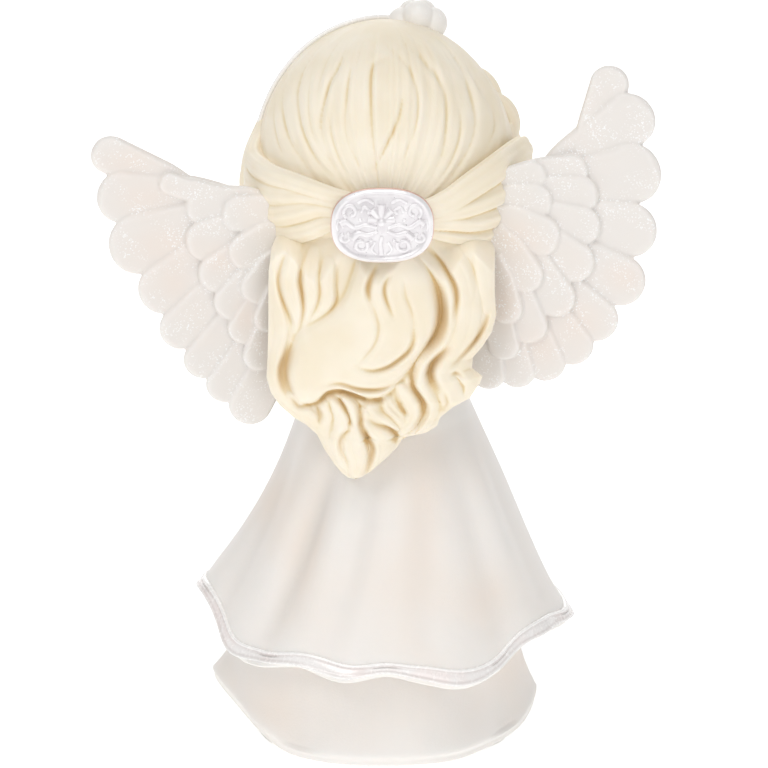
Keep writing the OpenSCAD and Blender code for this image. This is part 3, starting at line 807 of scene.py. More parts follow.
def comb(unit):
    """How far the combed strands stand out at points of the unit head, in mm."""
    chord = (crown_gather - crown_top) / np.linalg.norm(crown_gather - crown_top)
    out = np.cross([1.0, 0.0, 0.0], chord)
    out = out * np.sign(out @ (crown_top + crown_gather))
    from_top, from_gather = unit - crown_top, unit - crown_gather
    reach_top = np.linalg.norm(from_top, axis=-1)
    reach_gather = np.linalg.norm(from_gather, axis=-1)
    turn = np.arctan2(from_top[..., 0], from_top @ out)
    along = reach_top / (reach_top + reach_gather)
    fade = ease((reach_top - 0.12) * 1.6) * ease((reach_gather - 0.05) * 4)
    strands = sum(np.cos(n * turn + phase + bend * 5 * along) / n**0.6 for n, phase, bend in comb_waves)
    height = 0.3 * strands * fade
    back = unit[..., 1] > 0
    spots = (crown_mid + crown_half * unit)[back][:, [0, 2]]
    if len(spots):
        cut = np.zeros(len(spots))
        for depth, width, stops in comb_grooves:
            line = smooth_path(stops, 16)
            run = np.linspace(0, 1, 17)
            gap = np.linalg.norm(spots[:, None] - line[None], axis=2)
            nearest = gap.argmin(axis=1)
            taper = np.sin(np.pi * run[nearest])
            away = distance_to(spots, line)
            groove = np.exp(-((away / width) ** 2)) - 0.45 * np.exp(-((away / width / 2.6) ** 2))
            cut -= depth * taper * groove
        height[back] += cut * 1.6
    return height


def along_groove(spots, width, stops):
    """For spots near a groove: which they are, how deep it is there, how many widths away."""
    line = smooth_path(stops, 30)
    low, high = line.min(axis=0) - 3.5 * width, line.max(axis=0) + 3.5 * width
    near = np.flatnonzero(np.all((spots > low) & (spots < high), axis=1))
    nearest = np.linalg.norm(spots[near][:, None] - line[None], axis=2).argmin(axis=1)
    taper = np.clip(np.sin(np.pi * (0.02 + 0.96 * nearest / 30)), 0, 1) ** 0.8
    return near, taper, distance_to(spots[near], line) / width


def mark_wash(piece, grooves):
    """Stores how much golden wash has settled along the grooves ("wash"), 0 to 1."""
    points = points_of(piece)
    value = np.zeros(len(points))
    for depth, width, stops in grooves:
        near, taper, away = along_groove(points[:, [0, 2]], width, stops)
        settled = min(1.0, 0.62 * depth) * taper * np.exp(-((away / 1.05) ** 2))
        value[near] = np.maximum(value[near], settled * (points[near, 1] > 12))
    set_mark(piece, "wash", value)


comb_turns = np.arange(0, 360, 0.72)
# How far the opening for face and neck reaches from the face's axis, round that axis
opening_turns = [0, 50, 90, 130, 180, 215, 242, 270, 298, 325]
open_at = round_curve(opening_turns, [50, 42, 38, 42, 50, 66, 102, 124, 102, 66])(comb_turns)
face_axis = -crown_gather
face_side = np.array([1.0, 0.0, 0.0])
face_up = np.cross(face_side, face_axis)
face_up = face_up * np.sign(face_up[2]) / np.linalg.norm(face_up)
crown_rings = []
turn_angle = np.radians(comb_turns)[:, None]
turn_dir = np.cos(turn_angle) * face_side + np.sin(turn_angle) * face_up
crown_rows = 240
for row in range(crown_rows):
    reach = np.radians(open_at + (179.6 - open_at) * row / (crown_rows - 1))[:, None]
    unit = np.cos(reach) * face_axis + np.sin(reach) * turn_dir
    unit = unit / np.linalg.norm(unit, axis=1)[:, None]
    swell = comb(unit) - 0.1
    crown_rings.append(crown_mid + crown_half * unit + swell[:, None] * unit)
inner_rings = []
for ring in crown_rings[:1] + crown_rings[8::16] + crown_rings[-1:]:
    ray = (ring - head_mid) / (head_half + 0.2)
    inner_rings.append(head_mid + (head_half + 0.2) * ray / np.linalg.norm(ray, axis=1)[:, None])
hair_crown = ring_solid("hair_crown_comb", inner_rings[::-1] + crown_rings)
mark_relief(hair_crown, 16, 0.24)
mark_wash(hair_crown, comb_grooves)
finish_piece(hair_crown, ["hair_crown"], hair.material)


# Twists: strands drawn back from both temples and tucked under the barrette.
# Each side is one casting of rounded, overlapping strands.
def crown_point(turn, height, lift=0.0):
    """A point of the combed head: turn in degrees from the back towards the left, height in mm."""
    share = math.sqrt(max(0.05, 1 - ((height - crown_mid[2]) / crown_half[2]) ** 2))
    a = math.radians(turn)
    return [
        (crown_half[0] + lift) * share * math.sin(a),
        (crown_half[1] + lift) * share * math.cos(a),
        height,
    ]


def crown_outward(point):
    away = (point - crown_mid) / crown_half**2
    return away / np.linalg.norm(away)


# Each strand, from the top one down: stops (turn, height, share of its lift), half width and lift
twist_strands = {
    "left": [
        ([(112, 120, -0.6), (97, 118.0, -0.7), (87, 114.6, -0.1), (74, 112.4, 0.7), (55, 111.7), (38, 111.3),
          (20, 110.0), (5, 108.6, -0.2)], 2.3, 1.7),
        ([(116, 114, -0.6), (97, 112.8, -0.4), (80, 109.2, 0.6), (62, 108.2), (46, 108.8), (33, 109.6),
          (18, 109.0), (5, 107.4, -0.2)], 2.5, 1.45),
        ([(112, 108, -0.6), (96, 107.2, 0.2), (84, 106.2, 0.8), (71, 104.6), (54, 104.4), (40, 106.2),
          (28, 107.9), (17, 107.4), (5, 105.8, -0.2)], 2.6, 1.2),
        ([(110, 103.4, -1), (92, 102.8, 0), (75, 102.2), (62, 101.2), (47, 101.2), (34, 103.0),
          (24, 105.0), (14, 105.2), (5, 104.2, -0.3)], 2.3, 0.8),
    ],
    "right": [
        ([(-120, 108.4, -0.6), (-106, 109.4, 0.4), (-95, 111.2), (-85, 112.9), (-68, 113.8), (-50, 112.7),
          (-37, 110.9), (-27, 108.9), (-16, 107.6), (-4, 107.4, -0.2)], 3.0, 1.7),
        ([(-118, 106.4, -0.6), (-102, 107.0, 0.3), (-88, 107.6), (-74, 108.6), (-58, 108.2), (-44, 107.6),
          (-32, 107.0), (-16, 106.4), (-4, 106, -0.2)], 2.5, 1.35),
        ([(-114, 103.6, -0.8), (-96, 104.2, 0.2), (-80, 104.4), (-68, 104.4), (-54, 103.6), (-41, 103.8),
          (-30, 104.6), (-17, 105.2), (-4, 105, -0.2)], 2.2, 1.1),
        ([(-104, 101.6, -1), (-88, 101.8, 0), (-72, 101.6), (-61, 100.8), (-47, 100.4), (-33, 101.6),
          (-18, 103.4), (-4, 103.8, -0.3)], 2.0, 0.7),
    ],
}
for label, strands in twist_strands.items():
    twist = Clay()
    for stops, half_w, lift in strands:
        path = [crown_point(turn, height, lift * (share or [1])[0]) for turn, height, *share in stops]
        twist.add(strand(path, half_w, 1.9, crown_outward, ends=(0.7, 0.5), ridges=7, ridge=0.12))
    piece = twist.fuse("twist_" + label + "_strands", voxel=0.18, smoothing=3)
    mark_relief(piece, 24, 0.2)
    finish_piece(piece, ["twist_" + label], hair.material)


# Long hair: one casting of layered, wavy locks that hangs down the back to a point left of
# the middle. A broad lock sweeps across it from the right of the barrette.
lock_dice = np.random.default_rng(11)
hair_top, hair_tip = 103.0, 55.6
# Sides of the hair at heights from the top down
hair_left = [
    (103.0, 17.5), (101, 19.6), (98.5, 20.9), (95, 21.4), (91, 21.5), (85, 21.5), (78, 21.7), (74.5, 21.9),
    (71.7, 21.2), (69.1, 19.5), (66.8, 16.9), (65.5, 14.7), (63.6, 12.6), (60.9, 11.3),
    (58, 9.4), (56.4, 8.1), (55.6, 7),
]
hair_right = [
    (103.0, -17.2), (101, -19.6), (98.5, -20.3), (95, -20.2), (91, -20.2), (86.3, -20.5), (83.1, -19.7),
    (80.2, -17.9), (78.2, -16.2), (76.2, -16.1), (74.6, -18), (73.3, -17.5), (70.4, -15.6), (68.8, -12.6),
    (66.8, -10.2), (65.2, -9.6), (64, -7.8), (63.4, -4.4), (62.6, -3.1), (61.1, -2.2), (59.2, -0.3),
    (57, 2.2), (56, 3.8), (55.6, 5.2),
]
# Each lock: stops (across, height), half width, lift and rise in mm, from the lowest layer up
locks = [
    ([(20.6, 101.3), (21, 97.4), (21, 92.8), (20, 88), (19.1, 84.1), (19.7, 79.8), (20.6, 76.6),
      (20, 72.7), (17.5, 69.7), (14.7, 67.8)], 1.3, 0.2, 0.9),
    ([(16.3, 100), (17.2, 96.1), (17.7, 92.8), (16.9, 89.6), (16.1, 86.3), (16.4, 84.1)], 1.8, 0.2, 1.2),
    ([(13, 98.7), (13.6, 94.8), (13.5, 90.9), (14.2, 88), (15.3, 85)], 1.6, 0.2, 1),
    ([(10.2, 97.4), (10.6, 93.5), (10.6, 90.2), (11.9, 87.6), (13.8, 85.7)], 1.6, 0.2, 0.9),
    ([(-16.9, 100), (-18, 96.1), (-18.6, 92.2), (-19.1, 88.6), (-20, 86.3)], 1.8, 0.1, 0.9),
    ([(-20.3, 87), (-19.7, 84.1), (-17.8, 80.8), (-15.5, 78.9), (-14.1, 76.6), (-15.6, 73.6),
      (-15, 70.7)], 1.6, 0.3, 1.2),
    ([(-10.6, 100), (-13.4, 96.4), (-14.8, 92.2), (-15.3, 88.3), (-14.7, 84.7), (-13.3, 81.1),
      (-11.6, 78.2), (-10.5, 75.3), (-11.6, 72.7), (-12.7, 70.1)], 2.6, 0.3, 1.3),
    ([(-6.6, 99), (-9.4, 95.8), (-11.4, 92.2), (-11.9, 88.6), (-11.6, 85.4), (-10, 81.8), (-7.5, 78.9),
      (-6.6, 76.2), (-6.7, 74), (-8.3, 71.4), (-8.9, 69.1), (-8.3, 66.8), (-6.2, 64.5)], 1.5, 0.3, 1.5),
    ([(-2.8, 73.6), (-4.5, 71), (-5.4, 68.8), (-4.6, 66.5), (-2.8, 64.5)], 1.6, 0.3, 1.1),
    ([(0, 71.7), (-1.1, 69.1), (-3.1, 66.8), (-3.4, 64.9)], 1.2, 0.2, 0.8),
    ([(3.1, 71.4), (2, 68.8), (0, 67.3), (-2.2, 65.5)], 1.2, 0.3, 0.9),
    ([(3.8, 68.1), (2, 65.5), (0.8, 63.2), (0.8, 60.6), (2.2, 57.7)], 2.4, 0.3, 1.2),
    ([(11.3, 70.1), (10.8, 67.5), (11.1, 64.5), (10, 61.3), (8.4, 58)], 1.6, 0.2, 0.9),
    ([(9.5, 71), (8.3, 68.4), (8.1, 66.2), (9.1, 63.2), (8.1, 59.6), (6.9, 57)], 1.5, 0.5, 1.2),
    ([(7.5, 71.7), (5.9, 69.4), (5.3, 67.1), (5.9, 65.2)], 1.1, 0.7, 1),
    ([(4.5, 66.2), (5.6, 64.2), (5.7, 61.9), (5, 59.6), (5, 57.4)], 2.2, 0.6, 1.3),
    ([(17.5, 71.4), (15.3, 68.8), (13.1, 66.5), (11.9, 63.6)], 1.5, 0.2, 0.9),
]
# Outline of the broad lock that sweeps across and ends in a round bulge at the left
swoop = [(16.3, 83.4), (17.2, 80.8), (17.9, 78.5), (18.2, 75.9), (17.6, 73.3), (16.6, 71.3), (15, 70.1),
    (13.1, 70.3), (11.4, 71.7), (10.3, 72.7), (8.4, 73.1), (6.3, 72.5), (3.9, 71.6), (1.3, 71.5),
    (-0.8, 72.6), (-2.8, 74.8), (-4.7, 77.2), (-6.3, 79.3), (-8.1, 81.8), (-9.4, 84.7), (-9.8, 88),
    (-9.4, 91.2), (-8.5, 94.5), (-6.9, 97.7), (-4.4, 100.3), (-0.3, 101.3), (4.1, 100), (5.9, 95.5),
    (7.4, 91.2), (9.5, 88.3), (12.7, 86.3), (15.2, 84.7), (16.3, 83.4)]
# Grooves cut between and into the locks: depth, width, stops (across, height), all in mm
hair_grooves = [
    (1, 0.55, [(17.8, 99.7), (19.1, 96.4), (19.6, 93.2), (18.9, 89.9), (17.5, 86.7), (16.6, 84.4)]),
    (0.9, 0.5, [(14.2, 99), (15.3, 96.4), (15.6, 93.5), (15.2, 90.9), (15, 88.3), (15.5, 85.4),
      (16.4, 83.1)]),
    (2.6, 1.15, [(16.9, 81.8), (18.1, 78.9), (18.8, 76.2), (18.5, 73.6), (17.2, 71.4)]),
    (0.45, 0.45, [(11.6, 97.4), (12.2, 94.2), (12, 91.5), (12.7, 88.6), (14.1, 86)]),
    (0.6, 0.5, [(8.6, 96.4), (9, 92.8), (9, 90.2), (10.2, 88), (12.5, 86.2), (14.9, 84.7)]),
    (1.4, 0.65, [(1.3, 97.4), (2.7, 94.5), (3.1, 92.4), (2.7, 90.4)]),
    (0.55, 0.55, [(3.1, 91.2), (1.9, 88.6), (1.2, 85.4), (1.9, 82.4), (3.8, 79.8), (5.5, 78)]),
    (1, 0.5, [(-1.1, 95.8), (-0.1, 94), (0.1, 92), (-0.6, 89.6), (-1.6, 87.3)]),
    (0.5, 0.5, [(-3.4, 95.1), (-3.8, 91.5), (-4.8, 88.6), (-5.4, 85.7)]),
    (1.3, 0.6, [(-5.2, 86.3), (-5.2, 83.1), (-4.4, 81), (-2.5, 79.2), (-0.3, 77.8), (2.5, 77.2),
      (5.2, 78)]),
    (1.3, 0.6, [(11.1, 74.1), (8.4, 74.5), (5.3, 73.6), (2.2, 73.4), (-0.3, 73.8), (-2.7, 75.1)]),
    (1.5, 0.6, [(14.9, 69.9), (12.2, 70.5), (10.8, 72.1), (8.4, 72.6), (5.9, 72), (3.4, 71.1),
      (0.9, 71.1), (-1.4, 72.5)]),
    (2.3, 1.2, [(-9.2, 94.5), (-10.3, 90.2), (-10.6, 87), (-10, 84.1), (-8.1, 81.1), (-5.9, 78.2)]),
    (1.3, 0.65, [(-6.6, 79.2), (-5.2, 75.9), (-5.2, 73.6), (-6.6, 71), (-7, 68.8), (-6.2, 66.8),
      (-3.9, 64)]),
    (1.2, 0.6, [(-7.8, 99.7), (-10.6, 96.4), (-12.5, 93.5), (-13.1, 90.9), (-12.8, 88), (-12.3, 84.7)]),
    (2.1, 0.95, [(-12.5, 81.5), (-10, 79.5), (-8.4, 77.2), (-8.6, 74.9), (-10.3, 72.3)]),
    (0.8, 0.5, [(-10.9, 72.7), (-11.4, 70.4), (-10.8, 68.1)]),
    (0.5, 0.5, [(-13.1, 99), (-15, 97.1), (-16.1, 94.8), (-16.6, 91.9), (-16.3, 89.3)]),
    (1.4, 0.65, [(-19.1, 88.3), (-18.6, 85.7), (-17.5, 83.1), (-15.8, 81), (-13.8, 78.9), (-11.9, 76.9)]),
    (0.8, 0.5, [(-11.9, 75.4), (-13.1, 75.9), (-14.5, 75)]),
    (1, 0.5, [(10.2, 71.9), (9.1, 71.4), (7.7, 69.9), (6.6, 67.6)]),
    (1.5, 0.65, [(5.8, 71.4), (4.9, 69.7), (4.6, 67.8), (4.3, 65.8), (3.4, 64), (2.4, 61.9),
      (2.7, 59.5), (3.4, 57.4), (4.9, 55.9)]),
    (0.9, 0.5, [(6.2, 65.5), (7.8, 64.5), (8.3, 62.6), (7.8, 60.6), (6.7, 58.8)]),
    (1.1, 0.55, [(3.6, 67.9), (1.6, 66.5), (-0.6, 65.5), (-2, 63.9), (-2.1, 61.8)]),
    (0.45, 0.45, [(2.8, 70.4), (1.3, 69.1), (-0.9, 67.8), (-2.7, 66)]),
    (0.55, 0.45, [(-0.3, 71.7), (-0.8, 70.1), (-2.2, 68.4), (-3.6, 67.1)]),
    (0.5, 0.4, [(-1.7, 72.3), (-2.3, 70.4), (-3.6, 68.8), (-4.5, 68.1)]),
    (0.9, 0.6, [(13.1, 70.1), (11.9, 68.4), (12, 66.3)]),
    (0.4, 0.4, [(13.4, 65.8), (12.2, 63.6), (10.6, 60.6), (9.1, 58.2)]),
    (1, 0.6, [(17.7, 71.7), (16, 69.7), (13.9, 69.8)]),
    (0.4, 0.4, [(-5, 63.8), (-7.5, 64.3), (-9.7, 65.2)]),
]
hair_rows, hair_columns, hair_back_columns = 320, 320, 70
heights = np.linspace(hair_top, hair_tip, hair_rows)
left_side = np.interp(-heights, [-h for h, _ in hair_left], [x for _, x in hair_left])
right_side = np.interp(-heights, [-h for h, _ in hair_right], [x for _, x in hair_right])


def blur(values, rounds):
    """Evens out a grid of values a little."""
    for _ in range(rounds):
        padded = np.pad(values, 1, mode="edge")
        values = 0.5 * values + 0.125 * (
            padded[:-2, 1:-1] + padded[2:, 1:-1] + padded[1:-1, :-2] + padded[1:-1, 2:]
        )
    return values


def lay_lock(relief, across, height, stops, half_w, lift, rise, strands, dice):
    """Raises one rounded, grooved lock on a grid of heights."""
    path = smooth_path(stops, 70)
    tangent = np.gradient(path, axis=0)
    tangent = tangent / np.linalg.norm(tangent, axis=1)[:, None]
    low, high = path.min(axis=0) - half_w, path.max(axis=0) + half_w
    near = (across > low[0]) & (across < high[0]) & (height > low[1]) & (height < high[1])
    spot = np.stack([across[near], height[near]], axis=1)
    best = np.full(len(spot), 1e9)
    index = np.zeros(len(spot), int)
    for k, point in enumerate(path):
        gap = ((spot - point) ** 2).sum(axis=1)
        closer = gap < best
        best[closer], index[closer] = gap[closer], k
    t = index / (len(path) - 1)
    offset = spot - path[index]
    side = offset[:, 0] * tangent[index, 1] - offset[:, 1] * tangent[index, 0]
    share = swell_along(t, 0.55, 0.32) if half_w < 2 else swell_along(t, 0.7, 0.85)
    reach = np.sqrt(best) / (half_w * share)
    inside = reach < 1
    dome = np.sqrt(np.clip(1 - reach**2, 0, 1))
    phase = dice.uniform(-0.3, 0.3)
    grooves = np.abs(np.sin(np.pi * strands * (side / (half_w * share) + phase) / 2)) ** 0.6
    raised = lift + rise * share * dome - 0.16 * dome * (1 - grooves) * (strands > 0)
    values = relief[near]
    values[inside] = np.maximum(values[inside], raised[inside])
    relief[near] = values


def cut_groove(relief, across, height, depth, width, stops):
    """Cuts one soft groove, with a low ridge on both sides, into a grid of heights."""
    spots = np.stack([across.ravel(), height.ravel()], axis=1)
    near, taper, away = along_groove(spots, width, stops)
    profile = np.exp(-(away**2)) - 0.35 * np.exp(-((away / 2.2) ** 2))
    relief.ravel()[near] -= depth * taper * profile


def inside_outline(points, outline):
    """Whether points lie inside a closed line."""
    inside = np.zeros(len(points), bool)
    x, z = points[:, 0], points[:, 1]
    for (x1, z1), (x2, z2) in zip(outline[:-1], outline[1:]):
        if z1 != z2:
            inside ^= ((z1 > z) != (z2 > z)) & (x < (x2 - x1) * (z - z1) / (z2 - z1) + x1)
    return inside


def lay_mass(relief, across, height, outline, lift, rise, round_off):
    """Raises a whole area with a rounded edge on a grid of heights."""
    line = smooth_path(outline, 160)
    spots = np.stack([across.ravel(), height.ravel()], axis=1)
    within = np.flatnonzero(inside_outline(spots, line))
    deep = np.clip(distance_to(spots[within], line) / round_off, 0, 1)
    values = relief.ravel().copy()
    raised = lift * ease(deep * 6) + rise * np.sqrt(1 - (1 - deep) ** 2)
    values[within] = np.maximum(values[within] * (1 - ease(deep * 4)), raised)
    relief[:] = values.reshape(relief.shape)


across = np.linspace(0, 1, hair_columns)
share_x = (1 - np.cos(np.pi * across)) / 2 * 0.5 + across * 0.5
grid_x = left_side[:, None] + (right_side - left_side)[:, None] * share_x[None, :]
grid_z = np.repeat(heights[:, None], hair_columns, axis=1)
drift = grid_x + 1.2 * np.sin(grid_z / 4)
relief = 0.12 * np.abs(np.sin(1.25 * drift + 0.8 * np.sin(0.31 * drift))) ** 0.7
for stops, half_w, lift, rise in locks:
    lay_lock(relief, grid_x, grid_z, stops, half_w, lift, rise, 2 if half_w > 1.4 else 0, lock_dice)
lay_mass(relief, grid_x, grid_z, swoop, 0.3, 2.2, 5.0)
relief = blur(relief, 4)
# The upper locks melt into the broad lock's shoulder
shoulder = np.exp(-(((grid_x - 10.5) / 6.5) ** 2) - ((grid_z - 85.6 + 0.12 * (grid_x - 10.5)) / 3.0) ** 2)
soft = np.clip(1.3 * shoulder, 0, 1)
relief = relief + soft * (blur(relief, 70) - relief)
for depth, width, stops in hair_grooves:
    cut_groove(relief, grid_x, grid_z, depth, width, stops)
relief = blur(relief, 2)

# The hair's middle depth and thickness from the top down
depth_stops = [103.5, 97, 88, 78, 70, 63, 58, 55.6]
hair_mid = np.interp(-heights, [-h for h in depth_stops], [21.2, 20.6, 20.2, 20.2, 20.4, 20.8, 21.2, 21.4])
hair_thick = np.interp(-heights, [-h for h in depth_stops], [2.8, 3.2, 3.6, 3.6, 3.2, 2.5, 1.7, 0.9])
edge = 2 * share_x - 1
bulge = (1 - np.abs(edge) ** 2.2) ** 0.55
front_y = hair_mid[:, None] + hair_thick[:, None] * bulge[None, :] + relief * (1 - np.abs(edge) ** 8)[None, :]
# The top follows the head's curve, so that the twists cover it
follow = 1 - (grid_x / 23.6) ** 2 - ((grid_z - crown_mid[2]) / crown_half[2]) ** 2
under_twist = 25.0 * np.sqrt(np.clip(follow, 0.03, 1)) - 0.4
tuck = ease((hair_top - grid_z) / (7.0 + 2.5 * np.sin(0.55 * grid_x + 0.8)))
front_y = under_twist * (1 - tuck) + front_y * tuck
back_edge = np.linspace(-1, 1, hair_back_columns + 2)[1:-1]
hair_rings = []
for row in range(hair_rows):
    front = np.stack([grid_x[row], front_y[row], grid_z[row]], axis=1)
    middle, half = (left_side[row] + right_side[row]) / 2, (left_side[row] - right_side[row]) / 2
    rest = min(front_y[row, 0], front_y[row, -1]) - 0.2
    back_bulge = hair_thick[row] * 0.75 * (1 - np.abs(back_edge) ** 2.6) ** 0.5
    comb_lines = 0.18 * np.abs(np.sin(back_edge * 17 + 0.6 * math.sin(heights[row] / 5)))
    back_y = np.minimum(hair_mid[row], rest) - back_bulge - comb_lines
    back = np.stack([middle + half * back_edge, back_y, np.full(hair_back_columns, heights[row])], axis=1)
    hair_rings.append(np.concatenate([front, back]))
back_hair = ring_solid("back_hair_locks", hair_rings)
mark_relief(back_hair, 55, 0.42)
mark_wash(back_hair, hair_grooves)
finish_piece(back_hair, ["back_hair"], hair.material)


# Side locks and fringe: tapered strands glued over the front edge of the hair, same paint
# and wash. The fringe parts in the middle and sweeps back over both temples.
def temple_outward(point):
    away = (np.asarray(point) - head_mid) / head_half**2
    return away / np.linalg.norm(away)


def brow_depth(x, z):
    """Depth of the hair's rounded form in front, at (across, height)."""
    share = 1 - (x / crown_half[0]) ** 2 - ((z - crown_mid[2]) / crown_half[2]) ** 2
    return -crown_half[1] * math.sqrt(share)


# Short waves that stand out beside the temples: stops (across, depth, height), half width
temple_waves = {
    "left": [([(22.4, -4, 113), (24.4, -7, 109.5), (25.6, -9, 105), (25.2, -10, 101), (23, -11, 97)], 2.2)],
    "right": [
        ([(-15.6, -8, 126.6), (-18.2, -9, 124.2), (-20.2, -9, 121.2), (-21.4, -8, 117.8)], 1.6),
        ([(-19.6, -7, 122.0), (-22.2, -8, 119.2), (-23.7, -8, 116.0), (-24.1, -7, 112.4)], 1.8),
        ([(-22.0, -6, 116.4), (-23.8, -8, 111.8), (-24.4, -10, 106), (-22.6, -12, 100)], 1.9),
    ],
}
for side, label in ((1, "left"), (-1, "right")):
    lock = Clay()
    for shift, half_w, end_z in ((0.0, 2.6, 77.6), (2.2, 2.0, 80.0), (-1.9, 2.0, 79.2)):
        stops = [
            (side * 22.3, -8 + shift * 0.7, 116), (side * 24.8, -12 + shift, 105),
            (side * 21.8, -14.3 + shift, 94), (side * (18.2 + 0.2 * shift), -12 + shift * 0.8, end_z),
        ]
        lock.add(strand(stops, half_w, 2.4, temple_outward, ends=(0.6, 0.3), ridges=10, ridge=0.08))
    for stops, half_w in temple_waves[label]:
        lock.add(strand(stops, half_w, 1.7, temple_outward, ends=(0.2, 0.3), ridges=10, ridge=0.08))
    piece = lock.fuse("side_lock_" + label + "_strands", voxel=0.2, smoothing=3)
    mark_relief(piece, 14, 0.25)
    finish_piece(piece, ["side_lock_" + label], hair.material)

    fringe = Clay()
    for drop in (0.0, 2.4, 4.8, 7.2, 9.4):
        line = [
            (0.1, 130.6 - drop), (8.6, 129.0 - 1.16 * drop), (15.5 + 0.1 * drop, 124.5 - 1.25 * drop),
            (20.6 - 0.06 * drop, 116 - 1.1 * drop),
        ]
        stops = [(side * x, brow_depth(x, z) + 0.9, z) for x, z in line]
        fringe.add(strand(stops, 1.9, 2.6, temple_outward, ends=(0.9, 0.4), ridges=8, ridge=0.08))
    piece = fringe.fuse("fringe_" + label + "_strands", voxel=0.2, smoothing=3)
    mark_relief(piece, 14, 0.25)
    finish_piece(piece, ["fringe_" + label], hair.material)


# Barrette plate: a domed oval with a broad soft lip, silver-white pearl, glued over the
# place where the twists meet. A stud behind it goes into the hair.
barrette_mid = np.array([0.5, 27.0, 105.4])
plate_half_x, plate_half_z, plate_power = 9.3, 6.9, 2.5


def plate_point(turn, share, y):
    """A point of the plate's rounded outline scaled by share, at depth y over its back."""
    c, s = np.cos(turn), np.sin(turn)
    oval = np.abs(c / plate_half_x) ** plate_power + np.abs(s / plate_half_z) ** plate_power
    reach = share / oval ** (1 / plate_power)
    return barrette_mid + np.stack([reach * c, y + 0 * c, reach * s], axis=-1)


def plate_dome(share):
    """How far the plate's face stands over its back."""
    lip = 0.42 * np.exp(-(((share - 0.93) / 0.06) ** 2))
    return 1.15 + 1.0 * (1 - share**2) + lip - 0.2 * ease((0.9 - share) * 8)


plate_turn = np.linspace(0, 2 * np.pi, 300, endpoint=False)
plate_rings = [plate_point(plate_turn, share, -4.9) for share in (0.06, 0.3)]
for share in (0.3, 0.5, 0.7, 0.85, 0.97):
    plate_rings.append(plate_point(plate_turn, share, -1.1 * (1 - share**3)))
plate_rings.append(plate_point(plate_turn, 0.995, 0.35))
plate_rings += [plate_point(plate_turn, share, plate_dome(share)) for share in np.linspace(1, 0.01, 60)]
barrette_plate = ring_solid("barrette_plate_dome", plate_rings)
mark_relief(barrette_plate, 16, 0.3)
silver = Paint("silver_pearl_paint", Metallic=0.35, Roughness=0.25, Coat_Weight=0.5, Coat_Roughness=0.15)
silver_colour = silver.mix(silver.noise(2.2, 2).between(0.4, 0.65), tint(229, 225, 227), tint(237, 234, 235))
# Painted shade: the hollows are painted darker. Painted highlight: the crests are painted near white.
silver_colour = silver.mix(silver.mark("groove") * 0.8, silver_colour, tint(190, 183, 187))
silver_colour = silver.mix(silver.mark("crest") * 0.9, silver_colour, tint(250, 248, 249))
silver.feed(
    Base_Color=silver_colour,
    Roughness=0.22 + 0.18 * silver.noise(0.6, 3),
    Normal=silver.bump(silver.noise(0.7, 3), 0.09),
)
finish_piece(barrette_plate, ["barrette_plate"], silver.material)

# Barrette rim: a thin bead modelled along the plate's edge, and picked out in rose gold
# with a fine brush.
rose = Paint("rose_gold_paint", Metallic=0.75, Roughness=0.3)
rose.feed(
    Base_Color=rose.mix(rose.noise(1.5, 2), tint(224, 184, 170), tint(238, 208, 198)),
    Roughness=0.24 + 0.2 * rose.noise(0.5, 3),
    Normal=rose.bump(rose.noise(0.2, 3), 0.02),
)
bead_turn = np.linspace(0, 2 * np.pi, 20, endpoint=False)
rim_line = plate_point(plate_turn, 1.0, 0.7)
rim_away = rim_line - barrette_mid - (0, 0.7, 0)
rim_away = rim_away / np.linalg.norm(rim_away, axis=1)[:, None]
rim_rings = [
    spot + 0.17 * np.cos(bead_turn)[:, None] * away + 0.36 * np.sin(bead_turn)[:, None] * np.array([0, 1, 0])
    for spot, away in zip(rim_line, rim_away)
]
barrette_rim = loop_solid("barrette_rim_bead", rim_rings)
finish_piece(barrette_rim, ["barrette_rim"], rose.material)


# Barrette filigree: flower, leaves, rings and scrolls in low relief, cast as one lacy
# piece and pressed onto the plate, painted like it.
def plate_face(x, z):
    """A point on the plate's face at (x, z) mm from its middle."""
    turn = math.atan2(z, x)
    full = np.linalg.norm(plate_point(np.array(turn), 1.0, 0.0) - barrette_mid)
    share = min(1.0, math.hypot(x, z) / full)
    return barrette_mid + np.array([x, plate_dome(share), z])


def wire(stops, radius, ends=(0.9, 0.9), flat=0.95):
    """Rings of a rounded raised line drawn over the plate."""
    path = np.array([plate_face(1.08 * x, 1.1 * z) for x, z in smooth_path(stops, 40)])
    t = np.linspace(0, 1, len(path))
    swell = (ends[0] * (1 - t) + ends[1] * t)[:, None]
    turn = np.linspace(0, 2 * np.pi, 16, endpoint=False)
    off = 1.2 * radius * flat * swell * np.sin(turn)
    return sweep_rings(path, (0, 1, 0), 1.2 * radius * swell * np.cos(turn), off)


def curl(x, z, radius, start, sweep):
    """Stops of a scroll that winds in round (x, z); angles in degrees."""
    t = np.linspace(0, 1, 9)
    a = np.radians(start + sweep * t)
    r = radius * (1 - 0.45 * t)
    return np.stack([x + r * np.cos(a), z + r * np.sin(a)], axis=1)


lace = Clay()
flower_x, flower_z = 0.15, 1.0
for angle, long, wide in ((90, 2.7, 0.85), (48, 2.5, 0.8), (132, 2.5, 0.8), (8, 2.3, 0.72), (172, 2.3, 0.72)):
    a = math.radians(angle)
    way = np.array([math.cos(a), math.sin(a)])
    stops = [np.array([flower_x, flower_z]) + way * d for d in (0.4, long * 0.55, long)]
    lace.add(wire(stops, wide, ends=(0.35, 0.85), flat=0.8))
lace.add(ball(plate_face(flower_x, flower_z - 0.2) + (0, 0.3, 0), 0.75, (1, 0.8, 1)))
# Small dots between the scrolls: across, height, radius
lace_dots = [
    (2.5, 2.6, 0.42), (4.0, 1.2, 0.4), (6.9, 2.2, 0.34),
    (2.1, -2.6, 0.36), (5.0, -4.1, 0.36), (7.2, -0.2, 0.3),
]
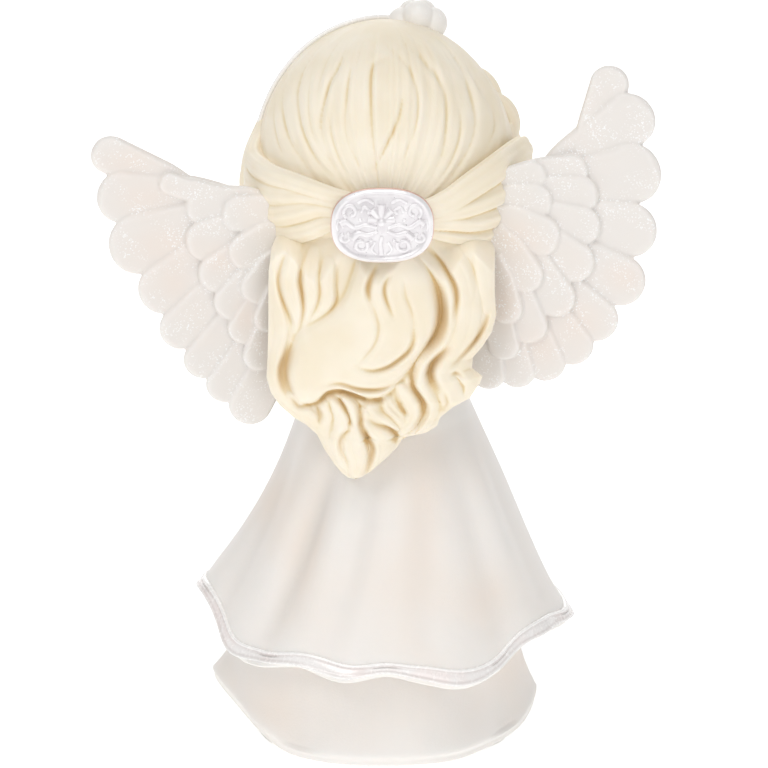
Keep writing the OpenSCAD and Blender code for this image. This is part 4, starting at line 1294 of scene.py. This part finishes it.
# Leaves and short bars that both halves have: stops (across, height), radius, ends
lace_lines = [
    ([(0.9, -0.2), (2.8, 0.3), (4.6, -0.2), (6.2, 0.7), (7.2, 0.3)], 0.46, (0.6, 1.25)),
    ([(0.8, -0.7), (2.4, -1.4), (4.0, -1.2), (5.2, -2.1)], 0.5, (0.6, 1.3)),
    ([(1.4, 3.9), (2.8, 4.5), (4.2, 3.9)], 0.4, (0.7, 0.6)),
    ([(1.6, 2.4), (3.0, 3.3), (3.6, 2.4)], 0.36, (0.6, 0.9)),
    ([(7.4, 1.2), (7.7, 0.2), (7.5, -0.8)], 0.3, (0.7, 0.6)),
]
for side in (1, -1):
    for stops, radius, ends in lace_lines:
        lace.add(wire([(side * x, z) for x, z in stops], radius, ends=ends))
    lace.add(wire(curl(side * 5.4, 2.5, 1.25, 90 - side * 150, side * 330), 0.4))
    lace.add(wire(curl(side * 3.6, -3.2, 1.2, 90 + side * 60, side * 340), 0.4))
    lace.add(wire(curl(side * 6.4, -1.9, 0.95, 90 + side * 30, side * 320), 0.38))
    for x, z, size in lace_dots:
        lace.add(ball(plate_face(side * x, z), size))
lace.add(wire([(0.1, -1.6), (0.3, -3.0), (0.2, -4.9)], 0.7, ends=(0.45, 0.6)))
lace.add(wire([(-1.0, -2.6), (-1.6, -3.9), (-0.8, -4.9)], 0.35, ends=(0.7, 0.7)))
lace.add(wire([(1.2, -2.6), (1.8, -3.9), (1.0, -4.9)], 0.35, ends=(0.7, 0.7)))
filigree = lace.fuse("barrette_filigree_lace", voxel=0.11, smoothing=2)
mark_relief(filigree, 10, 0.09)
finish_piece(filigree, ["barrette_filigree"], silver.material)


# Headband: a narrow silver-white band over the top of the head with a fine cord along
# both edges, glued round the hair.
band_angle = np.radians(np.linspace(12, 168, 170))
band_lean = math.radians(16)


def band_spot(a):
    """A point of the band's middle line; its right half sits a little further forward."""
    lean = band_lean - 0.06 + 0.36 * ease((a - 1.2) / 1.2)
    forward = -math.sin(a) * math.sin(lean) - 0.3 * max(0.0, -math.cos(a))
    unit = np.array([math.cos(a), forward, math.sin(a) * math.cos(lean)])
    unit = unit / np.linalg.norm(unit)
    return crown_mid + crown_half * unit + 0.4 * unit


band_path = np.array([band_spot(a) for a in band_angle])
# The band's section: how far across it, and how far it stands off the hair
band_section = np.array([
    (-1.4, -0.5), (-1.42, 0.1), (-1.3, 0.3), (-1.1, 0.34), (-0.95, 0.22), (-0.88, 0.05), (-0.7, 0.16),
    (-0.3, 0.26), (0.0, 0.28), (0.3, 0.26), (0.7, 0.16), (0.88, 0.05), (0.95, 0.22), (1.1, 0.34), (1.3, 0.3),
    (1.42, 0.1), (1.4, -0.5),
])
band_rings = sweep_rings(band_path, lambda spot: spot - crown_mid, band_section[:, 0], band_section[:, 1])
headband = ring_solid("headband_strip", band_rings)
mark_relief(headband, 3, 0.1)
finish_piece(headband, ["headband"], pearl.material)


# Flower on the headband: one casting of two tiers of rounded petals, painted white and
# dusted with fine glitter, glued on the band.
def glitter_paint(name, flake_mm, peach_size, white):
    """White paint under fine glitter: tiny flakes that tilt every way."""
    paint = Paint(name, Roughness=0.4, Coat_Weight=0.1, Coat_Roughness=0.3)
    soften(paint, 0.08, 1.0, (1.0, 0.8, 0.7))
    grains = {"Vector": paint.place, "Scale": 1 / flake_mm}
    flake = paint.node("ShaderNodeTexVoronoi", {}, grains, output="Color")
    flake_middle = Value(paint, flake.socket.node.outputs["Position"])
    lean = paint.vector("SUBTRACT", flake, (0.5, 0.5, 0.5))
    from_middle = paint.vector("SUBTRACT", paint.place, flake_middle)
    tilt = paint.vector("DOT_PRODUCT", from_middle, lean, output="Value")
    chance = paint.node("ShaderNodeSeparateColor", {}, {"Color": flake}, output="Green")
    dusting = paint.noise(4.5, 3).between(0.42, 0.62)
    glint_flakes = chance.between(0.88, 0.91) * dusting
    colour = paint.mix(paint.noise(peach_size, 1).between(0.5, 0.75) * 0.3, white, tint(236, 225, 216))
    colour = paint.mix(paint.mark("peach") * 0.5, colour, tint(234, 219, 208))
    # Painted shade: the hollows are painted grey. Painted highlight: the raised crests are painted lighter.
    colour = paint.mix(paint.mark("groove") * 0.7, colour, tint(207, 202, 198))
    colour = paint.mix(paint.mark("crest") * 0.8, colour, tint(247, 245, 242))
    # Painted glint: the glitter flakes are painted white. Their gloss and tilt below are real.
    colour = paint.mix(glint_flakes * 0.8, colour, tint(255, 255, 255))
    paint.feed(
        Base_Color=colour,
        Roughness=0.48 - 0.3 * glint_flakes,
        Normal=paint.bump(tilt * glint_flakes, 0.12),
    )
    return paint


flower_glitter = glitter_paint("glitter_petals", 0.22, 30, tint(244, 240, 234))
flower_mid = np.array([-6.0, -8.0, 135.4])
flower_tilt = math.radians(50)
flower_axes = np.array([
    [1, 0, 0],
    [0, math.cos(flower_tilt), math.sin(flower_tilt)],
    [0, -math.sin(flower_tilt), math.cos(flower_tilt)],
])


def flower_place(points):
    """From the flower's own axes to the figure's."""
    return flower_mid + np.asarray(points) @ flower_axes


blossom = Clay()
# Each tier of five petals: distance from the middle, radius, lowest and highest point, first angle
for reach, radius, low, high, first in ((2.8, 2.95, -4.2, 1.6, 18), (1.9, 2.3, -1.0, 2.9, 54)):
    for k in range(5):
        a = math.radians(first + 72 * k)
        middle = (reach * math.cos(a), reach * math.sin(a), (low + high) / 2)
        petal = ball(middle, 1, (radius, radius, (high - low) / 2 * 1.08))
        blossom.add([flower_place(ring) for ring in petal])
blossom.add([flower_place(ring) for ring in ball((0, 0, -0.8), 1, (2.6, 2.6, 2.6))])
petals = blossom.fuse("flower_petals_casting", voxel=0.17, smoothing=9)
mark_relief(petals, 12, 0.3)
finish_piece(petals, ["flower_petals"], flower_glitter.material)

# Flower heart: a cluster of small pearls, modelled as one piece, painted pearl and glued in
# the middle of the petals.
hearts = Clay()
hearts.add([flower_place(ring) for ring in ball((0, 0, 2.4), 1.1)])
for k in range(7):
    a = 2 * math.pi * k / 7
    hearts.add([flower_place(ring) for ring in ball((1.15 * math.cos(a), 1.15 * math.sin(a), 2.3), 0.62)])
flower_heart = hearts.solid("flower_heart_pearls")
mark_relief(flower_heart, 2, 0.1)
finish_piece(flower_heart, ["flower_heart"], pearl.material)


# Wings: two castings of overlapping rounded feathers, each pinned into the back behind the
# shoulder. Off-white paint with airbrushed peach patches, grey painted shade in the hollows,
# painted highlights on the raised edges and fine glitter.
wing_glitter = glitter_paint("glitter_wings", 0.22, 15, tint(230, 225, 220))
wing_sweep, wing_plane_y = math.radians(12), 7.5


def wing_place(points, side):
    """From a wing's own axes (outward, up, off its plane) to the figure's."""
    u, v, w = points[..., 0], points[..., 1], points[..., 2]
    x = side * (u * math.cos(wing_sweep) - w * math.sin(wing_sweep))
    y = wing_plane_y + u * math.sin(wing_sweep) + w * math.cos(wing_sweep)
    return np.stack([x, y, v], axis=-1)


# How far a feather's upper edge is lifted, and how thick a feather is
feather_lean, feather_thick = 0.5, 2.3


def feather(tip, angle, width, length, off):
    """Rings of one broad, flat-topped feather in a wing's own axes; tip is the middle of its
    rounded end and angle its way in degrees from outward."""
    a = math.radians(angle)
    way, up = np.array([math.cos(a), math.sin(a)]), np.array([-math.sin(a), math.cos(a)])
    half = width / 2
    q = np.linspace(-1, 1, 37)
    face = (1 - np.abs(q) ** 4.5) ** 0.5
    rings = []
    round_end = length + half * np.sin(np.linspace(0.06, 1.52, 20))
    stations = np.concatenate([np.linspace(0, length, 26), round_end])
    for run in stations:
        past = max(0.0, run - length) / half
        share = math.sqrt(max(1e-4, 1 - past**2.1)) * (0.6 + 0.4 * ease(run / (0.55 * length)))
        plump = math.sqrt(max(0.02, 1 - past**4.5))
        edge_near = np.maximum(np.abs(q) * (1 - past * 0.3), past**1.2)
        rim = 0.17 * np.exp(-(((edge_near - 0.83) / 0.1) ** 2)) * plump
        front = off + feather_lean * q * share * (1 - 0.5 * past) + feather_thick * 0.5 * face * plump + rim
        front = front - 0.1 * (1 - np.clip(edge_near / 0.7, 0, 1) ** 2)
        back = off + feather_lean * q * share * (1 - 0.5 * past) - feather_thick * 0.5 * face * plump
        line = (np.asarray(tip) - way * (length - run))[None, :] + (half * share * q)[:, None] * up
        top = np.concatenate([line, front[:, None]], axis=1)
        under = np.concatenate([line[1:-1], back[1:-1, None]], axis=1)[::-1]
        rings.append(np.concatenate([top, under]))
    return rings


# Airbrushed peach on the feathers: across, height, half width, half height
wing_peach = {
    "left": [
        (47, 115, 6, 3), (44, 108, 6, 3.5), (41, 99, 6, 4),
        (39, 91.5, 3.5, 4), (30, 96, 3, 3), (26, 85, 2.5, 4),
    ],
    "right": [(-24, 100, 4, 4), (-22, 88, 3, 6), (-29, 79, 4, 4), (-36, 84, 4, 4), (-44, 93, 4, 3)],
}
# Each feather: middle of its rounded end (outward, up), angle, width and length, from the top down.
# Three layers for each wing, each a little further off the plane than the last.
wing_layers = (0.0, 1.5, 2.6)
left_feathers = (
    [(51.4, 116.2, 29, 7.4, 22), (48.9, 108.2, 8, 10.4, 25), (45.9, 99.3, -12, 12.2, 23),
     (41.4, 90.6, -33, 10.4, 22), (38.4, 82.8, -44, 8.6, 22), (34.2, 76.6, -50, 8.0, 20),
     (30.2, 71.6, -54, 7.6, 18), (25.4, 67.6, -62, 8.8, 18)],
    [(40.6, 110.6, 22, 4.4, 12), (36.6, 109.2, 18, 4.8, 10), (33.8, 106.2, 6, 8.2, 14),
     (33.8, 99.6, -14, 8.2, 13), (31.6, 93.4, -32, 8.0, 12), (29.0, 87.8, -47, 7.6, 12),
     (26.9, 82.6, -57, 6.6, 12), (24.2, 77.2, -68, 6.4, 12)],
    [(27.6, 104.6, 2, 7.4, 9), (26.6, 97.4, -30, 7.2, 9), (24.6, 90.6, -52, 6.8, 9),
     (22.6, 84.6, -66, 6.0, 9)],
)
right_feathers = (
    [(42.0, 129.0, 74, 7.2, 18), (45.4, 122.4, 42, 10.4, 26), (45.8, 112.4, 20, 12.0, 26),
     (45.7, 101.8, -2, 10.8, 25), (44.0, 92.2, -24, 10.2, 24), (39.6, 84.6, -40, 9.0, 22),
     (35.2, 79.6, -53, 8.6, 20), (30.2, 76.0, -66, 8.2, 17), (25.0, 74.0, -74, 7.4, 14),
     (19.6, 73.2, -84, 7.0, 12)],
    [(35.2, 112.8, 10, 6.6, 12), (36.6, 108.4, 2, 7.6, 13), (37.0, 102.6, -8, 7.8, 14),
     (35.6, 95.8, -32, 8.4, 14), (32.2, 88.9, -55, 8.2, 14), (27.4, 83.3, -68, 7.6, 13),
     (22.8, 79.2, -78, 6.4, 10)],
    [(28.0, 111.8, 20, 6.0, 8), (28.6, 107.0, 2, 7.0, 9), (29.6, 100.6, -22, 8.0, 10),
     (26.8, 93.2, -56, 7.4, 10), (23.4, 86.6, -76, 6.6, 10)],
)
# Stops (outward, up) of the arm that carries the feathers, and of the leading edge
left_arm = [(7.5, 77), (14, 90), (21, 99), (30, 105)]
left_edge = [(22, 104.0), (30, 106.6), (38, 108.4), (46, 112.6)]
right_arm = [(7.5, 77), (15, 91), (22, 102), (27, 108)]
right_edge = [(24, 109.6), (30.5, 111.6), (36, 114.6), (39.4, 119.4), (41, 125)]
for side, label, feathers, arm, leading in (
    (1, "left", left_feathers, left_arm, left_edge), (-1, "right", right_feathers, right_arm, right_edge),
):
    wing = Clay()
    for off, layer in zip(wing_layers, feathers):
        for u, v, angle, width, length in layer:
            wing.add([wing_place(ring, side) for ring in feather((u, v), angle, width, length, off)])
    arm_path = [wing_place(np.array([u, v, 0.6]), side) for u, v in arm]
    wing.add(strand(arm_path, 7.5, 1.9, (0, 1, 0), ends=(0.7, 0.7)))
    leading_path = [wing_place(np.array([u, v, 0.0]), side) for u, v in leading]
    wing.add(strand(leading_path, 2.0, 1.15, (0, 1, 0), ends=(0.9, 0.9)))
    boss = [(side * 7.5, 5.2, 77), (side * 7.5, 7.5, 77), (side * 7.6, 9.9, 77)]
    wing.add(strand(boss, 4.5, 4.5, (0, 0, 1), ends=(0.98, 0.98), steps=12))
    piece = wing.fuse("wing_" + label + "_casting", voxel=0.22, smoothing=2)
    mark_relief(piece, 14, 0.4)
    mark_patches(piece, "peach", wing_peach[label])
    finish_piece(piece, ["wing_" + label], wing_glitter.material)


# Steel pins: the neck's dowel and the two wing pins, cut from straight bright rod and glued
# in drilled sockets. Their shape is the plain one.
steel = Paint("bright_steel", Metallic=1.0, Roughness=0.3)
steel.feed(
    Base_Color=steel.mix(steel.noise(3, 2), tint(186, 188, 192), tint(212, 214, 217)),
    Roughness=0.24 + 0.16 * steel.noise(0.4, 2, (1, 1, 0.05)),
    Normal=steel.bump(steel.noise(0.15, 2, (1, 1, 0.03)), 0.01),
)
for name in ("neck_dowel", "wing_pin_left", "wing_pin_right"):
    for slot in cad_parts[name].material_slots:
        slot.material = steel.material


# Studio: a pale floor that curves up into a backdrop, soft lights all round, and the camera
# behind the figure, a little above its middle.
paper = Paint("pale_paper", Roughness=0.9, Emission_Color=(1.0, 1.0, 1.0, 1.0), Emission_Strength=0.42)
paper.feed(Base_Color=paper.mix(paper.noise(40, 2), tint(250, 250, 250), tint(253, 253, 253)))
sweep_curve = [(2.4, 0.0), (-1.9, 0.0)]
for a in np.radians(np.arange(10, 91, 10)):
    sweep_curve.append((-1.9 - 0.5 * math.sin(a), 0.5 - 0.5 * math.cos(a)))
sweep_curve.append((-2.4, 2.4))
sweep_points = [(x / MM, y / MM, z / MM) for y, z in sweep_curve for x in (-2.6, 2.6)]
sweep_faces = [(2 * k, 2 * k + 1, 2 * k + 3, 2 * k + 2) for k in range(len(sweep_curve) - 1)]
backdrop = add_mesh("paper_sweep", sweep_points, sweep_faces)
backdrop.data.materials.append(paper.material)


def soft_light(name, place, aim, size, power):
    light = bpy.data.lights.new(name, "AREA")
    light.shape, light.size, light.energy = "DISK", size, power
    lamp = bpy.data.objects.new(name, light)
    lamp.location = place
    lamp.rotation_euler = (Vector(aim) - Vector(place)).to_track_quat("-Z", "Y").to_euler()
    bpy.context.scene.collection.objects.link(lamp)


figure_low, figure_high = cad_box
figure_mid = (figure_low + figure_high) / 2
soft_light("key_softbox", (0.5, 0.75, 0.9), figure_mid, 0.55, 2.3)
soft_light("fill_softbox", (-0.4, 1.25, 0.4), figure_mid, 0.8, 1.9)
soft_light("top_softbox", (0.0, 0.35, 1.2), figure_mid, 0.8, 3.5)
soft_light("front_softbox", (0.1, -1.1, 0.7), figure_mid, 0.8, 1.6)
room = bpy.data.worlds.new("studio_room")
room.use_nodes = True
room.node_tree.nodes["Background"].inputs["Color"].default_value = (1.0, 1.0, 1.0, 1.0)
room.node_tree.nodes["Background"].inputs["Strength"].default_value = 0.43
bpy.context.scene.world = room
bpy.context.scene.view_settings.view_transform = "Standard"

camera_elevation = math.radians(16)
camera_distance = 1.4
view_height = 0.144
sensor_width = 36
aim = Vector((0.0002, 0.0, 0.0673))
camera = bpy.data.objects.new("camera", bpy.data.cameras.new("camera"))
camera.data.sensor_width = sensor_width
camera.data.lens = sensor_width * camera_distance / view_height
camera.data.clip_end = 10
away = Vector((0, math.cos(camera_elevation), math.sin(camera_elevation)))
camera.location = aim + away * camera_distance
camera.rotation_euler = (-away).to_track_quat("-Z", "Y").to_euler()
bpy.context.scene.collection.objects.link(camera)
bpy.context.scene.camera = camera

bpy.context.view_layer.update()
